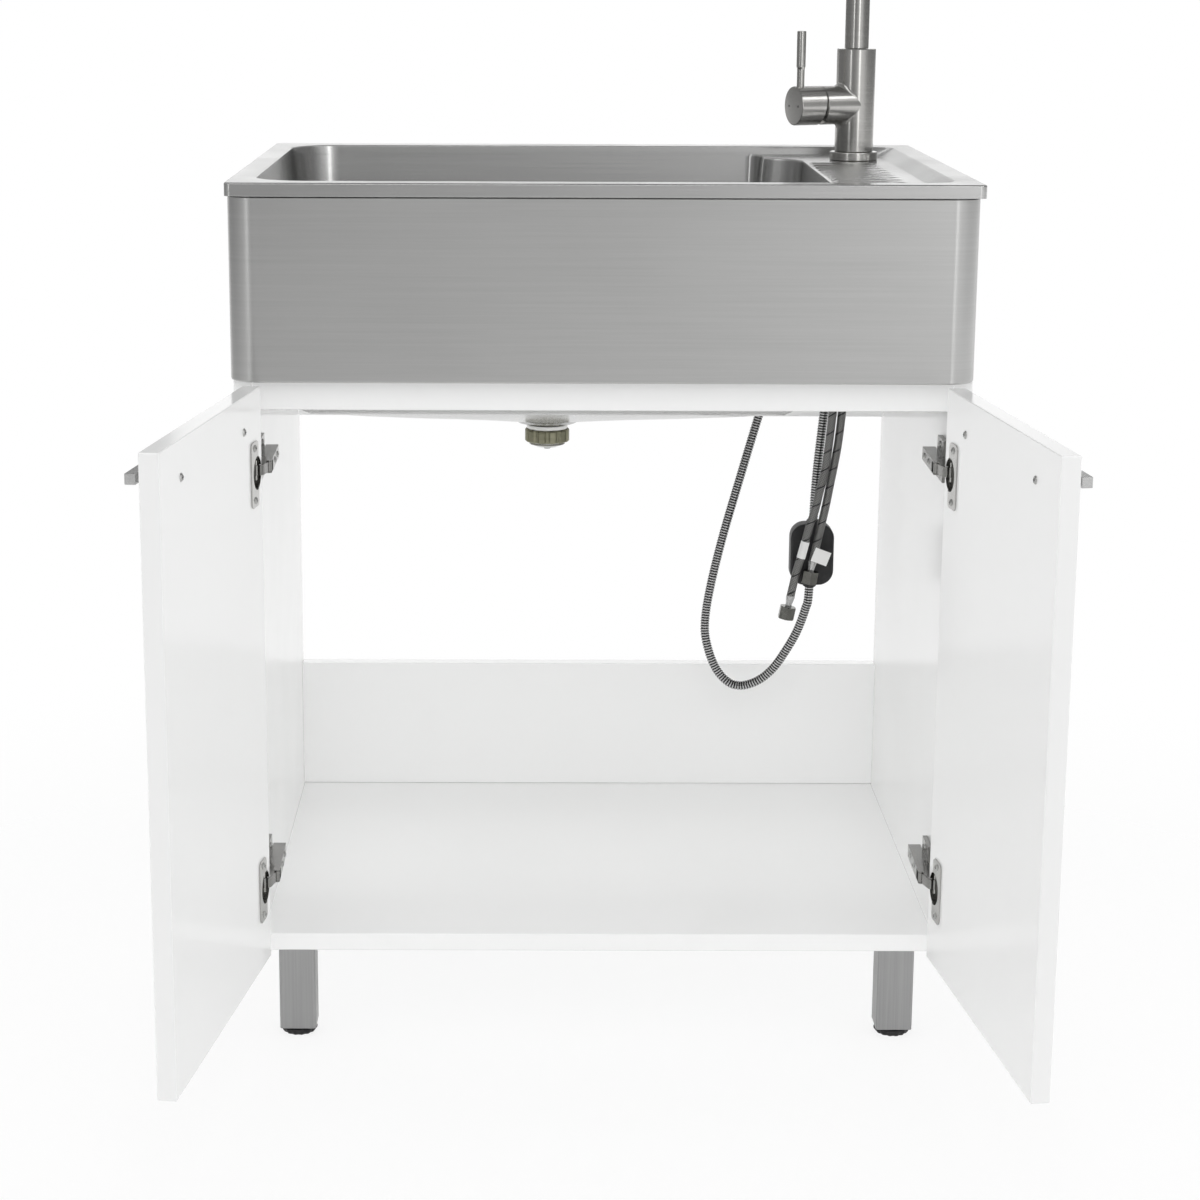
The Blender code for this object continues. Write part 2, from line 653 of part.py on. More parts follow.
def make_sink_top():
    """Rim with a turned-down lip, a recess, the bowl hung in it, a tap hole and the drainer's ribs."""
    half_x, half_y = SINK_WIDTH / 2, SINK_DEPTH / 2
    rim = [
        (-half_x, -half_y, RIM_CORNER), (half_x, -half_y, RIM_CORNER),
        (half_x, half_y, RIM_CORNER), (-half_x, half_y, RIM_CORNER)]
    rings = [at_height(rounded_outline(rim), RIM_HEIGHT - RIM_LIP)]
    for step in range(4):
        angle = math.radians(30.0) * step
        inset = RIM_EDGE * (1.0 - math.cos(angle))
        height = RIM_HEIGHT - RIM_EDGE * (1.0 - math.sin(angle))
        rings.append(at_height(rounded_outline(rim, inset), height))
    sink = loft("sink_top", rings, FRAME, SINK_STEEL)
    hollow = rounded_outline(rim, SHEET)
    cut(sink, slab("rim_hollow", [hollow], RIM_HEIGHT - RIM_LIP - CUT_MARGIN, RIM_HEIGHT - SHEET, FRAME))
    top_corners = recess_corners(0.0, 0.0)
    floor_corners = recess_corners(RECESS_SLOPE, RECESS_END_SLOPE)
    inside_top = RIM_HEIGHT - SHEET / 2
    fuse(sink, loft("recess_outside", [
        at_height(rounded_outline(floor_corners, -SHEET), DECK - SHEET),
        at_height(rounded_outline(top_corners, -SHEET), inside_top)], FRAME))
    fuse(sink, loft("bowl_outside", bowl_rings(SHEET, DECK - SHEET / 2), FRAME))
    rise = (RECESS_DROP + CUT_MARGIN) / RECESS_DROP
    cut(sink, loft("recess_inside", [
        at_height(rounded_outline(floor_corners), DECK),
        at_height(rounded_outline(recess_corners(
            RECESS_SLOPE * (1.0 - rise), RECESS_END_SLOPE * (1.0 - rise))), RIM_HEIGHT + CUT_MARGIN)], FRAME))
    cut(sink, loft("bowl_inside", bowl_rings(0.0, DECK + CUT_MARGIN), FRAME))
    fuse(sink, drainer_ribs())
    cut(sink, cylinder(
        "tap_hole", TAP_SHANK_RADIUS + 3 * FIT, (TAP_X, TAP_Y, DECK - SHEET - CUT_MARGIN),
        (TAP_X, TAP_Y, DECK + CUT_MARGIN), FRAME))
    cut(sink, cylinder(
        "waste_hole", WASTE_TAIL_RADIUS + 2 * FIT, (WASTE_X, WASTE_Y, SEAT_FLOOR - SHEET - CUT_MARGIN),
        (WASTE_X, WASTE_Y, SEAT_FLOOR + CUT_MARGIN), FRAME))


def drainer_ribs():
    """Low round ribs from the bowl's edge, running out to nothing towards the drainer's end."""
    start, end = BOWL_END + RIB_MARGIN, DRAINER_END - RIB_FAR_MARGIN
    sections = ((start, 0.5), (start + RIB_NEAR_END, 1.0), (end - RIB_FAR_END, 1.0), (end, 0.15))
    first, last = TAP_Y - FIRST_RIB_FROM_TAP, FRONT_WALL + LAST_RIB_FROM_FRONT
    pitch = (first - last) / (RIB_COUNT - 1)
    sunk = SHEET / 2
    bm = bmesh.new()
    for number in range(RIB_COUNT):
        middle = first - number * pitch
        loops = []
        for x, share in sections:
            places = []
            for step in range(5):
                angle = math.pi * step / 4
                y = middle + RIB_WIDTH / 2 * math.cos(angle)
                places.append(Vector((x, y, DECK + share * RIB_HEIGHT * math.sin(angle))))
            places.append(Vector((x, middle - RIB_WIDTH / 2, DECK - sunk)))
            places.append(Vector((x, middle + RIB_WIDTH / 2, DECK - sunk)))
            loops.append([bm.verts.new(place) for place in places])
        for lower, upper in zip(loops, loops[1:]):
            for index in range(len(lower)):
                after = (index + 1) % len(lower)
                bm.faces.new((lower[index], lower[after], upper[after], upper[index]))
        bm.faces.new(loops[0])
        bm.faces.new(loops[-1])
    bmesh.ops.recalc_face_normals(bm, faces=bm.faces)
    return from_bmesh("drainer_ribs", bm, FRAME, None)


# Basket waste: everything below hangs on the seat pressed into the bowl's floor

WASTE_CENTRE = (WASTE_X, WASTE_Y)
WASTE_BENEATH = SEAT_FLOOR - SHEET
TAIL_END = WASTE_BENEATH - WASTE_TAIL_BELOW
GASKET_TOP = WASTE_BENEATH - FIT
WASHER_TOP = GASKET_TOP - GASKET - FIT
LOCK_NUT_TOP = WASHER_TOP - WASHER - FIT


def make_waste():
    """The flanged waste body in the seat, clamped from below by gasket, washer and lock nut."""
    bore = WASTE_TAIL_RADIUS - WASTE_TAIL_WALL
    seat = SEAT_FLOOR + FIT
    turned("waste_body", [
        (bore, seat + WASTE_FLANGE), (WASTE_FLANGE_RADIUS - WASTE_FLANGE, seat + WASTE_FLANGE),
        (WASTE_FLANGE_RADIUS, seat), (WASTE_TAIL_RADIUS, seat), (WASTE_TAIL_RADIUS, TAIL_END),
        (bore, TAIL_END), (bore, seat + WASTE_FLANGE)], FRAME, SINK_STEEL, WASTE_CENTRE, 28)
    hole = WASTE_TAIL_RADIUS + FIT
    turned("waste_gasket", [
        (hole, GASKET_TOP), (GASKET_RADIUS, GASKET_TOP), (GASKET_RADIUS, GASKET_TOP - GASKET),
        (hole, GASKET_TOP - GASKET), (hole, GASKET_TOP)], FRAME, RUBBER, WASTE_CENTRE, 28)
    turned("waste_washer", [
        (hole, WASHER_TOP), (WASHER_RADIUS, WASHER_TOP), (WASHER_RADIUS, WASHER_TOP - WASHER),
        (hole, WASHER_TOP - WASHER), (hole, WASHER_TOP)], FRAME, WHITE_PLASTIC, WASTE_CENTRE, 28)
    outline = []
    for step in range(4 * LOCK_NUT_NOTCHES):
        angle = math.tau * step / (4 * LOCK_NUT_NOTCHES)
        radius = LOCK_NUT_RADIUS - (LOCK_NUT_NOTCH if step % 4 == 0 else 0.0)
        outline.append((WASTE_X + radius * math.cos(angle), WASTE_Y + radius * math.sin(angle)))
    inner = []
    for step in range(28):
        angle = math.tau * step / 28
        inner.append((WASTE_X + hole * math.cos(angle), WASTE_Y + hole * math.sin(angle)))
    slab("waste_lock_nut", [outline, inner], LOCK_NUT_TOP - LOCK_NUT, LOCK_NUT_TOP, FRAME, BRASS)
    plug = bore - FIT
    turned("waste_tail_plug", [
        (0.0, TAIL_END + TAIL_PLUG), (plug, TAIL_END + TAIL_PLUG), (plug, TAIL_END),
        (plug / 4, TAIL_END - TAIL_PLUG), (plug / 4, TAIL_END - TAIL_PLUG - TAIL_PLUG_TIP),
        (0.0, TAIL_END - TAIL_PLUG - TAIL_PLUG_TIP)], FRAME, WHITE_PLASTIC, WASTE_CENTRE, 28)


def make_basket():
    """The lift-out strainer: a pierced dish with a plug foot in the tail and a knob to lift it by."""
    lift = empty("basket_lift", FRAME, (WASTE_X, WASTE_Y, SEAT_FLOOR + FIT + WASTE_FLANGE + FIT))
    foot_depth = WASTE_FLANGE + BASKET_HEIGHT
    dish = turned("basket_strainer", [
        (0.0, BASKET_KNOB_HEIGHT), (BASKET_KNOB_RADIUS / 2, BASKET_KNOB_HEIGHT),
        (BASKET_KNOB_RADIUS, BASKET_KNOB_HEIGHT - BASKET_KNOB_RADIUS / 2),
        (BASKET_KNOB_RADIUS / 2, BASKET_KNOB_HEIGHT - BASKET_KNOB_RADIUS),
        (BASKET_KNOB_RADIUS / 2, BASKET_WALL), (BASKET_RADIUS * 0.8, BASKET_WALL),
        (BASKET_RADIUS, BASKET_HEIGHT),
        (BASKET_RADIUS + BASKET_WALL, BASKET_HEIGHT), (BASKET_RADIUS * 0.8 + BASKET_WALL, 0.0),
        (BASKET_FOOT_RADIUS, 0.0), (BASKET_FOOT_RADIUS, -foot_depth), (0.0, -foot_depth)],
        lift, SINK_STEEL, segments=24)
    ring = (BASKET_FOOT_RADIUS + BASKET_RADIUS * 0.8) / 2
    for number in range(BASKET_HOLES):
        angle = math.tau * (number + 0.2) / BASKET_HOLES
        x, y = ring * math.cos(angle), ring * math.sin(angle)
        cut(dish, cylinder(
            f"basket_hole_{number}", BASKET_HOLE_RADIUS, (x, y, -CUT_MARGIN), (x, y, BASKET_HEIGHT), lift,
            segments=6))


# Apron

def make_apron():
    """Folded sheet round the front and the sides, open at the back, with a lip that stands on the cabinet."""
    half = CABINET_HALF
    open_end = SINK_DEPTH / 2 - RIM_CORNER / 2 - FIT
    back = open_end + 2 * APRON_LIP
    corners = [
        (-half, APRON_FRONT, APRON_CORNER), (half, APRON_FRONT, APRON_CORNER),
        (half, back, APRON_CORNER), (-half, back, APRON_CORNER)]
    top = RIM_HEIGHT - SHEET - FIT
    apron = slab("sink_apron", [rounded_outline(corners)], APRON_BOTTOM, top, FRAME, SINK_STEEL)
    inside = rounded_outline(corners, SHEET)
    cut(apron, slab("apron_inside", [inside], APRON_BOTTOM + SHEET, top + CUT_MARGIN, FRAME))
    opening = rounded_outline(corners, APRON_LIP)
    cut(apron, slab("apron_opening", [opening], APRON_BOTTOM - CUT_MARGIN, top, FRAME))
    cut(apron, box(
        "apron_back", (-SINK_WIDTH, open_end, APRON_BOTTOM - CUT_MARGIN),
        (SINK_WIDTH, SINK_DEPTH, top + CUT_MARGIN), FRAME))


# Cabinet boards

def board(name, low, high):
    """One laminated board with lightly broken edges."""
    round_edges(box(name, low, high, FRAME, WHITE_BOARD), BOARD_EDGE)


def make_boards():
    """Sides, bottom, low back and the two rails that tie the sides at the top."""
    inner = PANEL_INNER - FIT
    front, back = CABINET_FRONT, CABINET_BACK
    board("left_side_panel", (-CABINET_HALF, front, LEG_ROOM), (-PANEL_INNER, back, CABINET_TOP))
    board("right_side_panel", (PANEL_INNER, front, LEG_ROOM), (CABINET_HALF, back, CABINET_TOP))
    board("bottom_panel", (-inner, front, LEG_ROOM), (inner, back, BOTTOM_TOP))
    low_back = BOTTOM_TOP + FIT
    board("low_back_panel", (-inner, back - BOARD, low_back), (inner, back, low_back + LOW_BACK_HEIGHT))
    board("front_rail", (-inner, front, CABINET_TOP - FRONT_RAIL_HEIGHT), (inner, front + BOARD, CABINET_TOP))
    board("back_rail", (-inner, back - BOARD, CABINET_TOP - BACK_RAIL_HEIGHT), (inner, back, CABINET_TOP))


# Legs and feet

LEG_X = CABINET_HALF - LEG_FROM_SIDE - LEG_TUBE / 2
LEG_Y = {
    "front": CABINET_FRONT + LEG_FROM_FRONT + LEG_TUBE / 2,
    "rear": CABINET_BACK - LEG_FROM_BACK - LEG_TUBE / 2}


def make_leg(end, side):
    """A square tube with an end plate at the floor, and the threaded foot in it."""
    x, y = across(side, LEG_X), LEG_Y[end]
    half = LEG_TUBE / 2
    corners = [
        (x - half, y - half, LEG_CORNER), (x + half, y - half, LEG_CORNER),
        (x + half, y + half, LEG_CORNER), (x - half, y + half, LEG_CORNER)]
    low, high = FOOT_HEIGHT + FIT, LEG_ROOM - FIT
    name = f"{end}_{side}_leg"
    leg = slab(name, [rounded_outline(corners, 0.0, 2)], low, high, FRAME, LEG_STEEL)
    cut(leg, slab(
        f"{name}_hollow", [rounded_outline(corners, LEG_WALL, 1)], low + LEG_END_PLATE, high + CUT_MARGIN,
        FRAME))
    cut(leg, cylinder(
        f"{name}_stem_hole", FOOT_STEM_RADIUS + PIN_CLEARANCE, (x, y, 0.0),
        (x, y, low + LEG_END_PLATE + CUT_MARGIN), FRAME, segments=10))
    screw = empty(f"{end}_{side}_foot_screw", FRAME, (x, y, 0.0))
    rings = []
    for height, share in ((0.0, 0.86), (0.4, 1.0), (0.75, 1.0), (1.0, 0.55)):
        ring = []
        for step in range(2 * FOOT_RIDGES):
            angle = math.tau * step / (2 * FOOT_RIDGES)
            radius = (FOOT_RADIUS - (FOOT_RIDGE if step % 2 else 0.0)) * share
            ring.append(Vector((radius * math.cos(angle), radius * math.sin(angle), height * FOOT_HEIGHT)))
        rings.append(ring)
    foot = loft(f"{end}_{side}_foot", rings, screw, BLACK_PLASTIC)
    fuse(foot, cylinder(
        f"{end}_{side}_stem", FOOT_STEM_RADIUS, (0.0, 0.0, FOOT_HEIGHT / 2),
        (0.0, 0.0, FOOT_HEIGHT + FOOT_STEM), screw, segments=10))


# Doors, handles and hinges

def make_door(side):
    """A door with its handle and hinge cups, modelled closed and carried open by the cup pin's empty."""
    sign = SIDES[side]
    pin = closed_cup_pin(side)
    swing = empty(f"{side}_door_swing", FRAME, open_cup_pin(side), sign * DOOR_OPEN[side])

    def place(from_edge, y, z):
        return (across(side, DOOR_EDGE - from_edge) - pin.x, y - pin.y, z)

    def span(name, near, far, finish=None):
        low = [min(pair) for pair in zip(near, far)]
        high = [max(pair) for pair in zip(near, far)]
        return box(name, low, high, swing, finish)

    inner, outer = DOOR_INNER_Y, APRON_FRONT
    door = span(
        f"{side}_door", place(0.0, outer, DOOR_BOTTOM), place(DOOR_WIDTH, inner, DOOR_TOP), WHITE_BOARD)
    round_edges(door, BOARD_EDGE)
    cup_at = CUP_FROM_EDGE + CUP_RADIUS
    for level, height in HINGE_HEIGHTS.items():
        cut(door, cylinder(
            f"{side}_{level}_cup_hole", CUP_RADIUS + FIT, place(cup_at, inner + CUT_MARGIN, height),
            place(cup_at, inner - CUP_DEPTH - FIT, height), swing))
        make_hinge_cup(side, level, height, swing, place)
    make_handle(side, swing, place)


def make_hinge_cup(side, level, height, swing, place):
    """Cup sunk in the door, with a screw flange on the door's face, a notch in its rim and the link's pin."""
    inner = DOOR_INNER_Y
    cup_at = CUP_FROM_EDGE + CUP_RADIUS
    name = f"{side}_{level}_hinge_cup"
    cup = cylinder(
        name, CUP_RADIUS, place(cup_at, inner - CUP_DEPTH, height),
        place(cup_at, inner + FIT + CUP_FLANGE / 2, height), swing, HINGE_STEEL)
    bm = bmesh.new()
    bmesh.ops.create_cube(bm, size=1.0)
    bmesh.ops.scale(bm, vec=(CUP_FLANGE_WIDTH, CUP_FLANGE, CUP_FLANGE_LENGTH), verts=bm.verts)
    upright = [edge for edge in bm.edges if abs(edge.verts[0].co.y - edge.verts[1].co.y) > FIT]
    bmesh.ops.bevel(
        bm, geom=upright, offset=CUP_FLANGE_CORNER, segments=2, profile=0.5, affect="EDGES", material=-1)
    middle = Vector(place(cup_at + CUP_FLANGE_OFFSET, inner + FIT + CUP_FLANGE / 2, height))
    bmesh.ops.translate(bm, vec=middle, verts=bm.verts)
    fuse(cup, from_bmesh(f"{name}_flange", bm, swing, None))
    cut(cup, cylinder(
        f"{name}_hollow", CUP_RADIUS - CUP_WALL, place(cup_at, inner - CUP_DEPTH + CUP_WALL, height),
        place(cup_at, inner + CUP_FLANGE + CUT_MARGIN, height), swing))
    notch = LINK_WIDTH / 2 + 2 * FIT
    near = place(-CUT_MARGIN, inner - CUP_WALL, height - notch)
    far = place(CUP_PIN_FROM_EDGE, inner + CUP_FLANGE + CUT_MARGIN, height + notch)
    cut(cup, box(
        f"{name}_notch", [min(pair) for pair in zip(near, far)], [max(pair) for pair in zip(near, far)], swing))
    off_centre = cup_at - CUP_PIN_FROM_EDGE + CUP_PIN_RADIUS
    reach = math.sqrt((CUP_RADIUS - FIT) ** 2 - off_centre ** 2)
    fuse(cup, cylinder(
        f"{name}_pin", CUP_PIN_RADIUS, (0.0, 0.0, height - reach), (0.0, 0.0, height + reach), swing,
        segments=10))


def make_handle(side, swing, place):
    """A square bar on two posts, cut as one U-shaped outline and screwed on from inside the door."""
    face = APRON_FRONT - FIT
    far = APRON_FRONT - HANDLE_REACH
    middle = DOOR_WIDTH / 2
    end, post = HANDLE_BAR_LENGTH / 2, HANDLE_CENTRES / 2
    half = HANDLE_BAR / 2
    outline = [
        (middle - end, far), (middle + end, far), (middle + end, far + HANDLE_BAR),
        (middle + post + half, far + HANDLE_BAR), (middle + post + half, face),
        (middle + post - half, face), (middle + post - half, far + HANDLE_BAR),
        (middle - post + half, far + HANDLE_BAR), (middle - post + half, face),
        (middle - post - half, face), (middle - post - half, far + HANDLE_BAR),
        (middle - end, far + HANDLE_BAR)]
    height = DOOR_TOP - HANDLE_FROM_TOP
    loop = [place(from_edge, y, 0.0)[:2] for from_edge, y in outline]
    slab(f"{side}_handle", [loop], height - half, height + half, swing, LEG_STEEL)


def make_hinge_arms(side):
    """On the side panel: a mounting plate and an arm whose forked tip holds the link's pin."""
    pin = arm_pin(side)
    slot = LINK_WIDTH / 2 + FIT
    near = ARM_PIN_FROM_PANEL - ARM_TIP_RADIUS
    far = ARM_PIN_FROM_PANEL + ARM_TIP_RADIUS
    shoulder = ARM_PLATE_FROM_FRONT / 2

    def spot(from_panel, behind_front):
        return Vector((across(side, PANEL_INNER - from_panel), CABINET_FRONT + behind_front))

    outline = [
        spot(near, -ARM_PIN_AHEAD), spot(near, shoulder / 3), spot(ARM_PLATE, shoulder),
        spot(ARM_PLATE, ARM_LENGTH), spot(ARM_PLATE + ARM_DEPTH, ARM_LENGTH),
        spot(ARM_PLATE + ARM_DEPTH + 1.0 * MM, shoulder), spot(far, -ARM_PIN_AHEAD)]
    for step in range(1, 6):
        angle = math.pi * step / 6
        outline.append(spot(
            ARM_PIN_FROM_PANEL + ARM_TIP_RADIUS * math.cos(angle),
            -ARM_PIN_AHEAD - ARM_TIP_RADIUS * math.sin(angle)))
    for level, height in HINGE_HEIGHTS.items():
        name = f"{side}_{level}_hinge_arm"
        arm = slab(name, [outline], height - ARM_WIDTH / 2, height + ARM_WIDTH / 2, FRAME, HINGE_STEEL)
        low = spot(far + CUT_MARGIN, -ARM_PIN_AHEAD - ARM_TIP_RADIUS - CUT_MARGIN)
        high = spot(0.0, shoulder / 3)
        cut(arm, box(
            f"{name}_slot", (min(low.x, high.x), low.y, height - slot),
            (max(low.x, high.x), high.y, height + slot), FRAME))
        reach = (ARM_WIDTH / 2 + slot) / 2
        fuse(arm, cylinder(
            f"{name}_pin", ARM_PIN_RADIUS, (pin.x, pin.y, height - reach), (pin.x, pin.y, height + reach),
            FRAME, segments=12))
        low = spot(FIT, ARM_PLATE_FROM_FRONT)
        high = spot(ARM_PLATE + FIT, ARM_PLATE_FROM_FRONT + ARM_PLATE_LENGTH)
        fuse(arm, box(
            f"{name}_plate", (min(low.x, high.x), low.y, height - ARM_PLATE_HEIGHT / 2),
            (max(low.x, high.x), high.y, height + ARM_PLATE_HEIGHT / 2), FRAME))


def make_hinge_links(side):
    """Goosenecked links: they lie in the cups when the doors are closed and reach over their rims when open."""
    pin = arm_pin(side)
    swing = empty(f"{side}_link_swing", FRAME, pin, link_turn(side))
    reach = closed_cup_pin(side) - pin
    length = reach.length
    along = -reach.normalized()
    into_cup = Vector((0.0, -1.0, 0.0))
    into_cup = (into_cup - along * into_cup.dot(along)).normalized()
    middle_line = [
        (0.0, 0.0), (0.27 * LINK_NECK, 0.84 * LINK_NECK), (0.8 * LINK_NECK, LINK_NECK),
        (2.3 * LINK_NECK, 0.7 * LINK_NECK), (length, 0.0)]
    places = [reach + along * t + into_cup * n for t, n in middle_line]
    left, right = [], []
    for index, place in enumerate(places):
        before = places[max(index - 1, 0)]
        after = places[min(index + 1, len(places) - 1)]
        way = (after - before).normalized()
        out = Vector((-way.y, way.x, 0.0)) * LINK_STRAP / 2
        left.append((place + out)[:2])
        right.append((place - out)[:2])
    outline = left + right[::-1]
    for level, height in HINGE_HEIGHTS.items():
        name = f"{side}_{level}_hinge_link"
        low, high = height - LINK_WIDTH / 2, height + LINK_WIDTH / 2
        link = slab(name, [outline], low, high, swing, HINGE_STEEL)
        for label, centre, eye, bore in (
                ("arm", Vector((0.0, 0.0, 0.0)), ARM_TIP_RADIUS, ARM_PIN_RADIUS),
                ("cup", reach, LINK_EYE_RADIUS, CUP_PIN_RADIUS)):
            down, up = centre.copy(), centre.copy()
            down.z, up.z = low, high
            fuse(link, cylinder(f"{name}_{label}_eye", eye, down, up, swing, segments=12))
            down.z, up.z = low - CUT_MARGIN, high + CUT_MARGIN
            cut(link, cylinder(f"{name}_{label}_bore", bore + PIN_CLEARANCE, down, up, swing, segments=10))


# Mixer tap

def make_tap_body():
    """Base ring, body with the side valve housing, and the threaded shank with its nut under the deck."""
    centre = (TAP_X, TAP_Y)
    ring_low = DECK + FIT
    ring_high = ring_low + TAP_RING_HEIGHT
    hole = TAP_SHANK_RADIUS + 2 * FIT
    turned("tap_base_ring", [
        (hole, ring_high), (TAP_RING_RADIUS - FIT, ring_high), (TAP_RING_RADIUS, ring_high - FIT),
        (TAP_RING_RADIUS, ring_low), (hole, ring_low), (hole, ring_high)], FRAME, TAP_STEEL, centre, 32)
    turned("tap_shank", [
        (0.0, TAP_FOOT - FIT), (TAP_SHANK_RADIUS, TAP_FOOT - FIT), (TAP_SHANK_RADIUS, SHANK_END),
        (0.0, SHANK_END)], FRAME, BRASS, centre, 24)
    nut_top = DECK - SHEET - FIT
    turned("tap_backing_nut", [
        (hole, nut_top), (BACKING_NUT_RADIUS, nut_top), (BACKING_NUT_RADIUS, nut_top - BACKING_NUT / 4),
        (BACKING_NUT_RADIUS * 0.8, nut_top - BACKING_NUT / 4),
        (BACKING_NUT_RADIUS * 0.8, nut_top - BACKING_NUT), (hole, nut_top - BACKING_NUT),
        (hole, nut_top)], FRAME, BRASS, centre, 24)
    body = cylinder(
        "tap_body", TAP_BODY_RADIUS, (0.0, 0.0, TAP_FOOT - VALVE_HEIGHT), (0.0, 0.0, TAP_TOP - VALVE_HEIGHT),
        VALVE, TAP_STEEL, segments=32)
    fuse(body, cylinder(
        "valve_housing", VALVE_RADIUS, (0.0, 0.0, 0.0), (VALVE_LENGTH, 0.0, 0.0), VALVE, segments=32))
    cut(body, cylinder(
        "spindle_bore", SPINDLE_RADIUS + PIN_CLEARANCE, (VALVE_LENGTH - SPINDLE_BORE_DEPTH, 0.0, 0.0),
        (VALVE_LENGTH + CUT_MARGIN, 0.0, 0.0), VALVE, segments=16))


def make_tap_handle():
    """The cartridge spindle turns in the housing; the cap and its lever pin tilt on it."""
    spindle = empty("spindle_turn", VALVE)
    cylinder(
        "cartridge_spindle", SPINDLE_RADIUS, (VALVE_LENGTH - SPINDLE_BORE_DEPTH + FIT, 0.0, 0.0),
        (VALVE_LENGTH + SPINDLE_OUT, 0.0, 0.0), spindle, HINGE_STEEL, segments=16)
    tilt = empty("lever_tilt", spindle, (CAP_TILT_PIVOT, 0.0, 0.0))
    end = CAP_END - CAP_TILT_PIVOT
    start = VALVE_LENGTH - CAP_TILT_PIVOT
    cap = cylinder(
        "handle_cap", CAP_RADIUS, (start - CAP_RADIUS, 0.0, 0.0), (end, 0.0, 0.0), tilt, TAP_STEEL, segments=32)
    cut(cap, cylinder(
        "cap_bore", CAP_BORE_RADIUS, (start - CAP_RADIUS - CUT_MARGIN, 0.0, 0.0),
        (start + CAP_BORE_DEPTH, 0.0, 0.0), tilt))
    slant = box(
        "cap_slant", (-3 * CAP_RADIUS, -2 * CAP_RADIUS, -3 * CAP_RADIUS), (0.0, 2 * CAP_RADIUS, CAP_RADIUS),
        tilt)
    slant.location = (start + 2 * FIT, 0.0, CAP_RADIUS)
    slant.rotation_euler = (0.0, -CAP_SLANT, 0.0)
    cut(cap, slant)
    lever_at = LEVER_AT - CAP_TILT_PIVOT
    cut(cap, cylinder(
        "lever_socket", LEVER_FOOT_RADIUS + FIT, (lever_at, 0.0, CAP_RADIUS - LEVER_SOCKET),
        (lever_at, 0.0, CAP_RADIUS + CUT_MARGIN), tilt, segments=20))
    foot = CAP_RADIUS - LEVER_SOCKET + FIT
    top = CAP_RADIUS + LEVER_HEIGHT
    shoulder = CAP_RADIUS + LEVER_HEIGHT * 0.3
    turned("lever_pin", [
        (0.0, top), (LEVER_RADIUS * 0.8, top), (LEVER_RADIUS, top - LEVER_RADIUS * 0.2),
        (LEVER_RADIUS, shoulder + LEVER_RADIUS), (LEVER_FOOT_RADIUS, shoulder), (LEVER_FOOT_RADIUS, foot),
        (0.0, foot)], tilt, TAP_STEEL, (lever_at, 0.0), 20)


def make_spout():
    """Swivelling gooseneck; its end is bored for the neck of the spray head and the hose behind it."""
    bend = SPOUT_BEND_RADIUS
    path = [Vector((0.0, 0.0, 0.0)), Vector((0.0, 0.0, SPOUT_RISE / 2))]
    for step in range(13):
        angle = math.pi * step / 12
        path.append(Vector((
            bend * (1.0 - math.cos(angle)), 0.0, SPOUT_RISE + bend * math.sin(angle))))
    outlet = SPOUT_RISE - SPOUT_DROP
    path.append(Vector((2 * bend, 0.0, outlet)))
    spout = tube("spout", path, [SPOUT_RADIUS] * len(path), SPOUT_RADIUS, 5, SWIVEL, TAP_STEEL)
    bore_top = outlet + SPOUT_BORE_DEPTH
    cut(spout, cylinder(
        "spout_bore", SPOUT_BORE_RADIUS, (2 * bend, 0.0, outlet - CUT_MARGIN), (2 * bend, 0.0, bore_top),
        SWIVEL, segments=20))
    pull = empty("spray_pull", SWIVEL, (2 * bend, 0.0, outlet))
    turned("spray_head", [
        (0.0, HEAD_NECK), (HEAD_NECK_RADIUS, HEAD_NECK), (HEAD_NECK_RADIUS, -FIT), (SPOUT_RADIUS, -FIT),
        (SPOUT_RADIUS, -HEAD_LENGTH * 0.25), (HEAD_RADIUS, -HEAD_LENGTH * 0.6), (HEAD_RADIUS, -HEAD_LENGTH),
        (HEAD_NOZZLE_RADIUS, -HEAD_LENGTH), (HEAD_NOZZLE_RADIUS, -HEAD_LENGTH + HEAD_NOZZLE_DEPTH),
        (0.0, -HEAD_LENGTH + HEAD_NOZZLE_DEPTH)], pull, TAP_STEEL, segments=24)
    cylinder(
        "spray_hose", SPRAY_HOSE_RADIUS, (0.0, 0.0, HEAD_NECK + FIT), (0.0, 0.0, SPOUT_BORE_DEPTH - FIT),
        pull, BRAID, segments=16)


# Hoses: routes in millimetres on the cabinet's axes, from the tap's shank down

HOSE_TOP = (SHANK_END - FIT) / MM
HOSE_STRAIGHT = HOSE_TOP - 12.0
HOSE_BELOW = HOSE_TOP - 20.0
WEIGHT_LOW_END = (253.0, 178.0, 392.0)
WEIGHT_HIGH_END = (256.0, 176.0, 486.0)
RIBBED_ROUTE = [
    (281.0, 166.5, HOSE_TOP), (281.0, 166.5, HOSE_STRAIGHT), (281.0, 166.5, HOSE_BELOW),
    (270.0, 177.0, 800.0), (250.0, 198.0, 765.0), (228.0, 214.0, 705.0), (210.0, 223.0, 645.0),
    (194.0, 225.0, 590.0), (174.0, 220.0, 520.0), (154.0, 216.0, 447.0), (140.0, 212.0, 385.0),
    (135.0, 209.0, 344.0), (139.0, 207.0, 317.0), (149.0, 205.0, 292.0), (163.0, 202.0, 277.0),
    (178.0, 200.0, 273.0), (197.0, 196.0, 280.0), (214.0, 193.0, 295.0), (228.0, 189.0, 317.0),
    (241.0, 185.0, 343.0), (250.0, 180.5, 372.0), WEIGHT_LOW_END, WEIGHT_HIGH_END, (258.0, 174.0, 533.0),
    (262.0, 173.0, 580.0), (268.0, 172.0, 640.0), (277.0, 170.0, 710.0), (288.0, 168.0, 780.0),
    (294.0, 166.5, HOSE_BELOW), (294.0, 166.5, HOSE_STRAIGHT), (294.0, 166.5, HOSE_TOP)]
